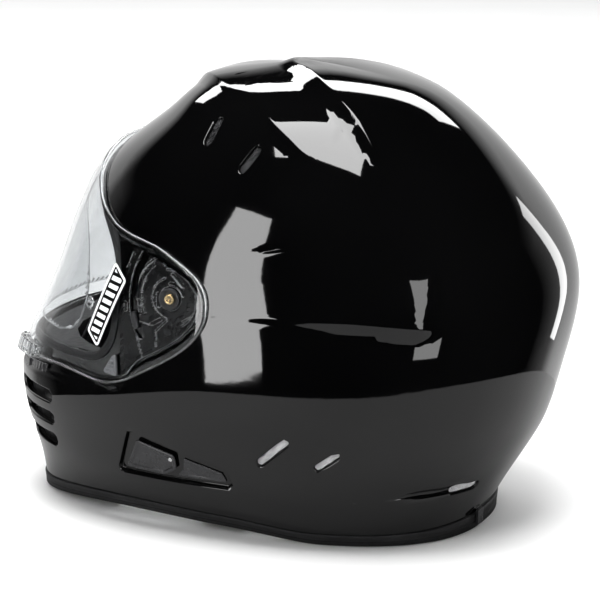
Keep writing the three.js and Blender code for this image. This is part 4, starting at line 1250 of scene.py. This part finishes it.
# painted highlight: faces along the edges of ribs, wells, slot, dish and outline get a paler material, so
# the edges show as light lines
EDGE_HIGHLIGHT = moulded("painted_edge_highlight", (0.09, 0.09, 0.092), (0.2, 0.2, 0.205), rough=(0.2, 0.35), grain=700,
                    depth=0.00002)
HIGHLIGHT_WIDTH, HIGHLIGHT_OUTLINE = 0.2, 0.3
for side, sign in zip(SIDES, (1, -1)):
    plate_mesh = bpy.data.objects[f"side_plate_{side}"].data
    plate_mesh.materials.append(EDGE_HIGHLIGHT)
    centres = centres_of(plate_mesh) * (sign, 1, 1)
    edges = np.min([np.abs(field(centres)) for field in RIBS + WELLS + [shoe_slot, dish]], axis=0)
    highlighted_faces = (edges < HIGHLIGHT_WIDTH) | (np.abs(base_outline(centres)) < HIGHLIGHT_OUTLINE)
    for face, index in zip(plate_mesh.polygons, highlighted_faces):
        face.material_index = int(index)

release_field = Outline(RELEASE_EDGE, rounding=1.2, sides=(1,))
grip = [Slot((-70 + k * 1.0, 97.4 + k * 2.6), (-63.6 + k * 0.2, 96.6 + k * 2.4), 0.9) for k in range(4)]


def release_height(p, n):
    """A dished pad with a raised rim and four grip ribs."""
    return -1.7 + 0.6 * ease((release_field(p) + 2.0) / 0.8) + raised(grip, 0.35)(p)


release_mesh = plate(local_grid((-73, -60, 92, 109), 0.6), release_field, release_height, -3.4, lip=0.4)
SMOKE = moulded("smoke_moulding", (0.1, 0.1, 0.104), (0.16, 0.16, 0.166), rough=(0.12, 0.25), grain=500)
pair("release_tab", release_mesh, ("release_left", "release_right"), SMOKE, "lever", "release_lever")


def tube_faces(count, rows, closed=False):
    """Quads between rings of points, with both ends capped unless the tube closes on itself."""
    faces = []
    for j in range(rows if closed else rows - 1):
        a, b = j * count, (j + 1) % rows * count
        faces += [(a + i, a + (i + 1) % count, b + (i + 1) % count, b + i) for i in range(count)]
    if not closed:
        faces += [tuple(range(count))[::-1], tuple(range((rows - 1) * count, rows * count))]
    return faces


def turned(rings, centre, axis, steps=36):
    """A turned shape from (radius, height) rings about an axis."""
    axis = unit(np.array(axis, float))
    side = unit(np.cross(axis, (0.1, 0.3, 1.0)))
    other = np.cross(axis, side)
    points = []
    for radius, height in rings:
        for i in range(steps):
            a = 2 * math.pi * i / steps
            spoke = side * math.cos(a) + other * math.sin(a)
            points.append(np.array(centre) + axis * height + spoke * radius)
    return np.array(points), tube_faces(steps, len(rings)), None


boss_at, _ = left_point(BOSS_Y, BOSS_Z)
boss_x = np.array([1.0, 0, 0])
BOSS_RINGS = [(3.6, -3.0), (6.0, -3.0), (6.2, -1.3), (6.0, -1.0), (5.3, -0.95), (4.6, -1.9), (3.6, -2.3)]
pair("screw_boss", turned(BOSS_RINGS, boss_at, boss_x), "helmet", PLASTIC, "boss", "base_boss")
BRASS = metal("brass", (0.42, 0.3, 0.15), (0.62, 0.5, 0.3), rough=(0.16, 0.3))


def socket_head(centre, axis, radius, lower, upper):
    """A low round head with a socket in it."""
    rings = [(radius * 0.6, lower), (radius * 0.96, lower), (radius, (lower + upper) / 2),
             (radius * 0.93, upper - 0.12), (radius * 0.8, upper), (radius * 0.42, upper),
             (radius * 0.36, upper - 0.55), (0.15, upper - 0.6)]
    return turned(rings, centre, axis, 30)


pair("ear_screw", socket_head(boss_at, boss_x, 3.1, -2.6, -0.95), "helmet", BRASS, "screw", "base_screw")

pin_uv = np.array(math.radians(-34.4)), np.array(0.48)
PIN = metal("pin_steel", (0.5, 0.5, 0.51), (0.72, 0.72, 0.73))
PIN_RINGS = [(2.6, -4.3), (3.5, -4.25), (3.75, -3.9), (3.5, -3.35), (2.8, -3.1), (1.6, -3.15), (1.1, -3.5),
             (0.2, -3.55)]
pin_mesh = turned(PIN_RINGS, skin(*pin_uv), normal(*pin_uv), 30)
pair("insert_pin", pin_mesh, "shield", PIN, "mechanism", "anti_fog_pin")
SHOE_FROM, SHOE_TO, SHOE_PLAY = 193, 201, 1.4
shoe_field = Arc((TRACK_Y, TRACK_Z), TRACK_RADIUS, SHOE_FROM, SHOE_TO, TRACK_WIDTH - SHOE_PLAY)
shoe_mesh = plate(local_grid((-54, -42, 116, 138), 0.7), shoe_field, -0.5, -3.2, lip=0.6)
pair("shoe", shoe_mesh, "shield", PLASTIC, "mechanism", "guide_shoe")

# ---------------------------------------------------------------- lever and its track

slider_field = Outline(SLIDER_EDGE, rounding=1.6, sides=(1,))


SLIDER_TOP, SLIDER_RIM, SLIDER_BOTTOM = -1.15, 0.65, -1.5


def slider_height(p, n):
    """A dished thumb pad with a raised rim."""
    return SLIDER_TOP + SLIDER_RIM * ease((slider_field(p) + 2.6) / 1.1)


slider_mesh = plate(local_grid((-64, -23, 34, 60), 0.9), slider_field, slider_height, SLIDER_BOTTOM, lip=0.5,
                    extra=[(slider_field, [-2.6, -2.1, -1.5])])
add_mesh("sun_lever", slider_mesh, "lever", SATIN, ["sun_visor_lever"])
rivet_at, rivet_axis = left_point(-29.8, 47.4)
add_mesh("sun_lever_rivet", socket_head(rivet_at, rivet_axis, 1.4, -1.35, -0.4), "lever", PIN)
track_field = Outline(TRACK_EDGE, rounding=0.8, sides=(1,))


TRACK_TOP, TRACK_RIM, TRACK_BOTTOM = -2.4, 0.3, -2.7


def track_height(p, n):
    """A floor with a raised rim."""
    return TRACK_TOP + TRACK_RIM * ease((track_field(p) + 1.8) / 0.8)


track_mesh = plate(local_grid((-30, 7, 34, 51), 0.9), track_field, track_height, TRACK_BOTTOM, lip=0.12,
                   extra=[(track_field, [-1.8, -1.0])])
add_mesh("lever_track_plate", track_mesh, "helmet", SATIN, ["lever_track"])

# ---------------------------------------------------------------- vent meshes and latch

WIRE = metal("vent_wire", (0.7, 0.7, 0.71), (0.95, 0.95, 0.96), rough=(0.3, 0.5))
DARK_WIRE = metal("dark_wire", (0.02, 0.02, 0.021), (0.12, 0.12, 0.125), rough=(0.3, 0.5))
WIRE_DEPTH = 0.75


def wires(pitch, top, axis):
    """Two crossed sets of round wires, seen along the other level axis."""
    def height(p, n):
        u = np.abs(np.sin((p[:, axis] + p[:, 2]) * math.pi / pitch))
        v = np.abs(np.sin((p[:, axis] - p[:, 2]) * math.pi / pitch))
        return top - WIRE_DEPTH * np.minimum(u, v)
    return height


for name, (start, end, width) in VENTS.items():
    low, high = np.minimum(start, end) - width / 2 - 0.5, np.maximum(start, end) + width / 2 + 0.5
    vent_grid = local_grid((low[0], high[0], low[1], high[1]), 0.3)
    vent_mesh = plate(vent_grid, Slot(start, end, width - 0.8, (1,)), wires(1.25, -1.55, 1), -2.6, lip=0.1)
    pair(f"{name}_wire", vent_mesh, "helmet", DARK_WIRE if "crown" in name else WIRE, "mesh", f"{name}_mesh")

LATCH_EDGE = [(-160, 78.6), (-160, 84.4), (-109, 89.4), (-108, 82)]
latch_field = Within(Outline(LATCH_EDGE, rounding=1.0, sides=(1,)), 60, 92)


def latch_height(p, n):
    """A bar with a step and fine ribs."""
    step = 0.9 * ease((78 - p[:, 0]) / 2.0)
    return -1.5 + step + 0.25 * np.sin(p[:, 0] * 1.1) ** 8


latch_mesh = plate(local_grid((-152, -104, 77, 91), 0.9), latch_field, latch_height, -3.6, lip=0.6)
add_mesh("visor_latch", latch_mesh, "helmet", SATIN, ["shield_latch"])

rear_half, rear_margin = math.radians(9), 6
rear_levels = [level_at(rear_angle, REAR_VENT_HEIGHT + by) for by in (-rear_margin, rear_margin)]
rear_patch = patch((rear_angle - rear_half, rear_angle + rear_half), rear_levels, 89, 39)
rear_mesh = plate(rear_patch, rear_box(0.5, 2.0), wires(1.4, -1.65, 0), -2.8, lip=0.1)
pair("rear_wire", rear_mesh, "helmet", WIRE, "mesh", "rear_exhaust_mesh")

# ---------------------------------------------------------------- swept parts


def swept(section, frames, closed=False):
    """A section, a list of (u, v), carried along frames (point, u direction, v direction)."""
    points = np.vstack([p + section @ np.stack([u, v]) for p, u, v in frames])
    return points, tube_faces(len(section), len(frames), closed), None


def full_turn(steps):
    return np.linspace(0, 2 * math.pi, steps, endpoint=False)


def ellipse(centre, half, angles):
    """Points (u, v) on an ellipse, given its half widths, at angles in radians."""
    return [(centre[0] + half[0] * math.cos(a), centre[1] + half[1] * math.sin(a)) for a in angles]


def rounded_section(corners, radius, steps=4):
    """A convex section with rounded corners."""
    p = np.array(corners, float)
    out = []
    for i in range(len(p)):
        before, at, after = p[i - 1], p[i], p[(i + 1) % len(p)]
        r = min(radius, 0.45 * np.linalg.norm(before - at), 0.45 * np.linalg.norm(after - at))
        a, b = at + unit(before - at) * r, at + unit(after - at) * r
        for k in np.linspace(0, 1, steps):
            out.append((1 - k) ** 2 * a + 2 * k * (1 - k) * at + k * k * b)
    return np.array(out)


def trim_ring():
    """The rubber channel round the rim: a rounded bead outside, a lip inside, a groove along the bead."""
    outside, inside = TRIM_PROUD, TRIM_PROUD - TRIM_DEPTH
    corners = [(outside - 0.05, TRIM_HEIGHT), (inside, TRIM_HEIGHT), (inside, 0.0), (outside, 0.0)]
    groove = [(outside - 0.45, 3.5), (outside - 0.45, 3.9), (outside - 0.1, 4.2)]
    section = np.vstack([rounded_section([(outside, 0.6), (outside - 0.15, 3.2)], 0.1, 2), groove,
                         rounded_section(corners, 0.9)])
    frames = []
    for a in full_turn(160):
        base = skin(a, np.array(0.0))
        n = normal(a, np.array(0.01))
        top = skin(a, level_at(a, TRIM_HEIGHT))
        lean = (top - base) / TRIM_HEIGHT
        frames.append((base, unit(np.array([n[0], n[1], 0])), lean / lean[2]))
    points, faces, _ = swept(section, frames, closed=True)
    return points, [tuple(reversed(f)) for f in faces], None


add_mesh("rim_rubber", trim_ring(), "helmet", RUBBER, ["base_trim"], outward=True)

STRAP_MID = (STRAP_BACK + STRAP_FRONT) / 2
STRAP_HALF = (STRAP_BACK - STRAP_FRONT) / 2


def strap_band(path, sign, closed=False):
    """Webbing whose path runs in the (x, z) plane; its edges are rolled and it bellies slightly."""
    xz = np.asarray(path, float)
    u = np.linspace(-1, 1, 13)
    belly = STRAP_THICK / 2 * (1 - 0.55 * np.abs(u) ** 6) - 0.12 * (1 - np.cos(u * math.pi)) / 2
    upper = np.stack([u * STRAP_HALF, belly], 1)
    section = np.vstack([upper, (upper * (1, -1))[::-1]])
    frames = []
    for i in range(len(xz)):
        if closed:
            d = xz[(i + 1) % len(xz)] - xz[i - 1]
        else:
            d = xz[min(i + 1, len(xz) - 1)] - xz[max(i - 1, 0)]
        d = d / np.linalg.norm(d)
        frames.append((np.array([sign * xz[i, 0], STRAP_MID, xz[i, 1]]), np.array([0.0, 1, 0]),
                       np.array([-sign * d[1], 0, d[0]])))
    return swept(section, frames, closed)


def webbing(name):
    """Tight woven tape: ribs along and picks across, with a paler thread here and there."""
    m = Nodes(name)
    ribs, picks = m.wave("Y", 0.0016), m.wave("X", 0.0011)
    weave = m.math("MULTIPLY", ribs, m.math("ADD", m.math("MULTIPLY", picks, 0.5), 0.5))
    fibre = m.noise(3000, 3)
    shade = m.blend(weave, 0.6, fibre, 0.3)
    color = m.ramp(shade, [(0.15, BLACK), (0.85, (0.03, 0.03, 0.032))])
    return m.finish(color, m.span(fibre, 0.6, 0.85), m.bump(weave, 0.00025, 0.8), Sheen_Weight=0.2)


TAPE = webbing("black_webbing")
loop_path = ellipse((69.8, 12.4), (7.75, 5.5), full_turn(40))
for name, band, nodes in (
        ("strap_long", strap_band(open_curve(STRAP_LONG, 8), 1), ["chin_strap_left"]),
        ("strap_short", strap_band(open_curve(STRAP_SHORT, 8), -1), ["chin_strap_right"]),
        ("strap_loop", strap_band(loop_path, -1, closed=True), [])):
    add_mesh(name, band, "helmet", TAPE, nodes, outward=True)


def d_ring(x, z, tilt):
    """Round wire bent to a D, lying in the strap's loop on the right side."""
    half, wire, inset = 14.3, 1.3, 1.3
    path = [(-inset, y) for y in np.linspace(-half + 2, half - 2, 8)]
    path += ellipse((-inset - 2, half - 2), (2, 2), np.radians([20, 45, 70]))
    path += ellipse((-10, 0), (half, half), np.radians(np.linspace(92, 268, 25)))
    path += ellipse((-inset - 2, -half + 2), (2, 2), np.radians([-70, -45, -20]))
    flat, t = np.array(path), math.radians(tilt)

    def tilted(q):
        return np.array([-(x + q[0] * math.cos(t)), q[1] + STRAP_MID, z - q[0] * math.sin(t)])

    up = np.array([math.sin(-t), 0, math.cos(t)])
    frames = []
    for i, at in enumerate(flat):
        d = unit(flat[(i + 1) % len(flat)] - flat[i - 1])
        frames.append((tilted(at), tilted(at + (d[1], -d[0])) - tilted(at), up))
    return swept(np.array(ellipse((0, 0), (wire, 0.85 * wire), full_turn(12))), frames, closed=True)


STEEL = metal("bright_steel", (0.45, 0.45, 0.46), (0.68, 0.68, 0.69), rough=(0.12, 0.26))
for name, ring in (("d_ring_upper", (74.2, 13.9, -8)), ("d_ring_lower", (70.6, 10.7, -12))):
    add_mesh(f"{name}_wire", d_ring(*ring), "helmet", STEEL, [name], outward=True)

SNAP_RINGS = [(5.2, -0.8), (5.5, -0.4), (5.5, 0.2), (5.1, 0.7), (4.4, 0.8), (3.6, 0.35), (2.4, 0.3),
              (1.8, 0.75), (0.3, 0.8)]
SNAP_AT, UPWARD = (30, -18, 8), (0, 0, 1)
add_mesh("snap_button", turned(SNAP_RINGS, SNAP_AT, UPWARD), "helmet", STEEL, ["strap_snap"],
         outward=True)

# ---------------------------------------------------------------- soft lining


def bake(obj):
    """Applies the modifiers."""
    graph = bpy.context.evaluated_depsgraph_get()
    mesh = bpy.data.meshes.new_from_object(obj.evaluated_get(graph))
    obj.modifiers.clear()
    obj.data = mesh


def of_vertices(mesh, key):
    """The vertices' co or normal as an array."""
    flat = np.empty(len(mesh.vertices) * 3)
    mesh.vertices.foreach_get(key, flat)
    return flat.reshape(-1, 3)


def put_points(mesh, points):
    mesh.vertices.foreach_set("co", points.ravel())
    mesh.update()


def sink(mesh, depth):
    """Moves the vertices inward by a depth in millimetres."""
    put_points(mesh, of_vertices(mesh, "co") - of_vertices(mesh, "normal") * depth * MM)


def soft_copy(name, node, voxel, inset):
    """A closed soft body from a CAD solid: evened out, a little smaller, ready to be blown up."""
    obj = bpy.data.objects.new(name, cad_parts[node].data.copy())
    bpy.context.scene.collection.objects.link(obj)
    remesh = obj.modifiers.new("even", "REMESH")
    remesh.mode, remesh.voxel_size = "VOXEL", voxel
    smooth = obj.modifiers.new("smooth", "SMOOTH")
    smooth.factor, smooth.iterations = 0.6, 4
    bake(obj)
    sink(obj.data, inset)
    return obj


CHEEK_EDGE = np.array([(-56, 28), (-60, 60), (-57, 96), (-40, 113), (10, 113), (34, 96), (38, 50),
                       (30, 28)], float)
cheeks = [soft_copy(f"cheek_cushion_{side}", f"cheek_pad_{side}", 0.0045, 1.6) for side in SIDES]
roll = soft_copy("neck_cushion", "neck_roll", 0.0035, 0.8)
crown = soft_copy("crown_cushion", "crown_pad", 0.0042, 0.6)
SWELL_PRESSURE, SWELL_CAP, SWELL_STEPS = 4.0, 3.2 * MM, 20


def swell(objects):
    """Blows the pads up as cloth under pressure, then holds each point near where it began."""
    started = [of_vertices(obj.data, "co") for obj in objects]
    for obj in objects:
        cloth = obj.modifiers.new("cloth", "CLOTH")
        cloth.settings.use_pressure = True
        cloth.settings.uniform_pressure_force = SWELL_PRESSURE
        cloth.settings.effector_weights.gravity = 0
        cloth.settings.quality = 6
        cloth.point_cache.frame_start, cloth.point_cache.frame_end = 1, SWELL_STEPS
    for step in range(1, SWELL_STEPS + 1):
        bpy.context.scene.frame_set(step)
    for obj, start in zip(objects, started):
        graph = bpy.context.evaluated_depsgraph_get()
        moved = of_vertices(obj.evaluated_get(graph).data, "co") - start
        obj.modifiers.clear()
        length = np.maximum(np.linalg.norm(moved, axis=1, keepdims=True), 1e-9)
        put_points(obj.data, start + moved * np.minimum(1, SWELL_CAP / length))
    bpy.context.scene.frame_set(1)


swell(cheeks + [roll])


def sew(obj, fields, depth, width):
    """Sinks sewn channels into a pad after one subdivision."""
    sub = obj.modifiers.new("finer", "SUBSURF")
    sub.levels = sub.render_levels = 1
    bake(obj)
    mesh = obj.data
    points = of_vertices(mesh, "co") / MM
    sunk = np.max([np.exp(-((field(points) / width) ** 2)) for field in fields], axis=0)
    sink(mesh, (sunk * depth)[:, None])
    for face in mesh.polygons:
        face.use_smooth = True


KNIT = woven("black_knit", (0.005, 0.005, 0.0055), (0.022, 0.022, 0.024), pitch=1.3)
SUEDE = woven("grey_suede", (0.008, 0.008, 0.009), (0.03, 0.03, 0.033), pitch=0.8, sheen=0.5)


def cheek_edge_seam(p):
    return polygon_distance(p[:, 1:], CHEEK_EDGE) + 13


def cheek_cross_seam(p):
    return np.abs(p[:, 2] - 70) + 30 * (p[:, 1] > 8)


def roll_seam(p):
    return p[:, 2] - 20


CROWN_SEAMS = [lambda p: np.abs(p[:, 0]) - 34, lambda p: np.abs(np.abs(p[:, 1] - 8) - 42),
               lambda p: p[:, 2] - 150]
for cheek, side in zip(cheeks, SIDES):
    sew(cheek, [cheek_edge_seam, cheek_cross_seam], 1.5, 2.2)
    add_piece(cheek, "helmet", SUEDE, [f"cheek_pad_{side}"])
sew(roll, [roll_seam], 0.8, 1.6)
add_piece(roll, "helmet", KNIT, ["neck_roll"])
sew(crown, CROWN_SEAMS, 1.6, 2.2)
add_piece(crown, "helmet", KNIT, ["crown_pad"])


def double_sheet(upper, lower, lines):
    """A closed sheet from two layers of points, each made of a number of lines."""
    size = len(upper)
    across = size // lines
    faces = []
    for i in range(lines - 1):
        for a in range(i * across, (i + 1) * across - 1):
            b = a + across
            faces += [(a, b, b + 1, a + 1), (a + size, a + 1 + size, b + 1 + size, b + size)]
    order = np.arange(size).reshape(lines, across)
    rim = [*order[:, 0], *order[-1, 1:], *order[-2::-1, -1], *order[0, -2:0:-1]]
    faces += [(a, a + size, b + size, b) for a, b in zip(rim, rim[1:] + rim[:1])]
    return np.vstack([upper, lower]), faces, None


CURTAIN_Z, CURTAIN_THICK, CURTAIN_SAG = 11.8, 0.8, 1.0
CURTAIN_OUTER, CURTAIN_INNER, CURTAIN_REAR = 15.2, 47.5, -84.5


def curtain_mesh(columns=72, rows=10):
    """Knit sheet across the gap under the chin, from the chin bar to its own elastic edge."""
    top = []
    for a in np.linspace(math.radians(-150), math.radians(-30), columns + 1):
        t = level_at(a, CURTAIN_Z - skin(a, np.array(0.0))[2])
        p, n = skin(a, t), normal(a, t)
        flat = unit(np.array([n[0], n[1], 0]))
        outer, inner = p - flat * CURTAIN_OUTER, p - flat * CURTAIN_INNER
        outer[1], inner[1] = min(outer[1], CURTAIN_REAR), min(inner[1], CURTAIN_REAR)
        for k in np.linspace(0, 1, rows + 1):
            q = outer * (1 - k) + inner * k
            top.append((q[0], q[1], CURTAIN_Z + 0.5 - CURTAIN_SAG * math.sin(math.pi * k) ** 2))
    top = np.array(top)
    return double_sheet(top, top - (0, 0, CURTAIN_THICK), columns + 1)


curtain = build("chin_curtain_knit", *curtain_mesh())
facing_out(curtain)
add_piece(curtain, "helmet", KNIT, ["chin_curtain"])

# ---------------------------------------------------------------- breath guard and drop-down sun visor

guard_field = RoundedBox((0, 0, 103), (1, 0), 57, 18.5, 7, lambda p: p[:, 1] < -60)
GUARD_TOP, GUARD_RIB, GUARD_BOTTOM = -30.4, 0.3, -32.8


def guard_height(p, n):
    """Flat, with fine ribs."""
    return GUARD_TOP + GUARD_RIB * np.sin(p[:, 2] * 1.3) ** 4


guard = plate(grid(360, 46, 0.24, 0.5), guard_field, guard_height, GUARD_BOTTOM, lip=0.8)
add_mesh("breath_guard", guard, "helmet", RUBBER, ["breath_deflector"])

SUN_Y, SUN_Z, SUN_THICK, SUN_HALF = -10.0, 150.0, 1.8, 78.0
SUN_FROM, SUN_TO, SUN_RADIUS, SUN_BEND = 38.0, 76.0, 96.5, 0.0037


def sun_mesh(columns=64, rows=30):
    """Sheet of a turned shape about the pivots' line, with a nose notch and rounded corners."""
    layers = []
    for side in (SUN_THICK / 2, -SUN_THICK / 2):
        points = []
        for j in range(rows + 1):
            for i in range(columns + 1):
                k = 2 * i / columns - 1
                x = SUN_HALF * k
                low = SUN_FROM + 6.5 * math.exp(-((x / 13) ** 2)) + 9 * max(0, (abs(k) - 0.72) / 0.28) ** 2.4
                high = SUN_TO - 5 * max(0, (abs(k) - 0.78) / 0.22) ** 2
                a = math.radians(low + (high - low) * j / rows)
                r = SUN_RADIUS - SUN_BEND * x * x + side
                points.append((x, SUN_Y - r * math.cos(a), SUN_Z + r * math.sin(a)))
        layers.append(np.array(points))
    return double_sheet(*layers, rows + 1)


TINT = glass("smoke_tint", (0.2, 0.21, 0.22), (0.26, 0.27, 0.28), (0.0, 0.02), ior=1.1, coat=0.6)
add_mesh("sun_shade_sheet", sun_mesh(), "sun_shade", TINT, ["sun_visor"], outward=True)

# ---------------------------------------------------------------- finishes of the CAD nodes that stay

FOAM = foam("bead_foam", BLACK, (0.02, 0.02, 0.021))
STAYING = {
    "impact_liner": (FOAM, 0.8), "chin_bar_liner": (FOAM, 0.8), "trim_clip": (SATIN, 0.35),
    "sun_visor_cable": (RUBBER, 0),
}
STAYING_PAIRS = {
    "chin_vent_grille": (PLASTIC, 0.2), "sun_visor_arm": (PLASTIC, 0.3), "sun_visor_pivot": (PLASTIC, 0.3),
    "strap_anchor": (STEEL, 0.25), "strap_rivet": (STEEL, 0.3),
}
STAYING |= {f"{name}_{side}": finish for name, finish in STAYING_PAIRS.items() for side in SIDES}
for name, (material, width) in STAYING.items():
    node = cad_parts[name]
    node.data.materials.clear()
    node.data.materials.append(material)
    if width:
        bevel = node.modifiers.new("edge", "BEVEL")
        bevel.width, bevel.segments, bevel.limit_method = width * MM, 2, "ANGLE"
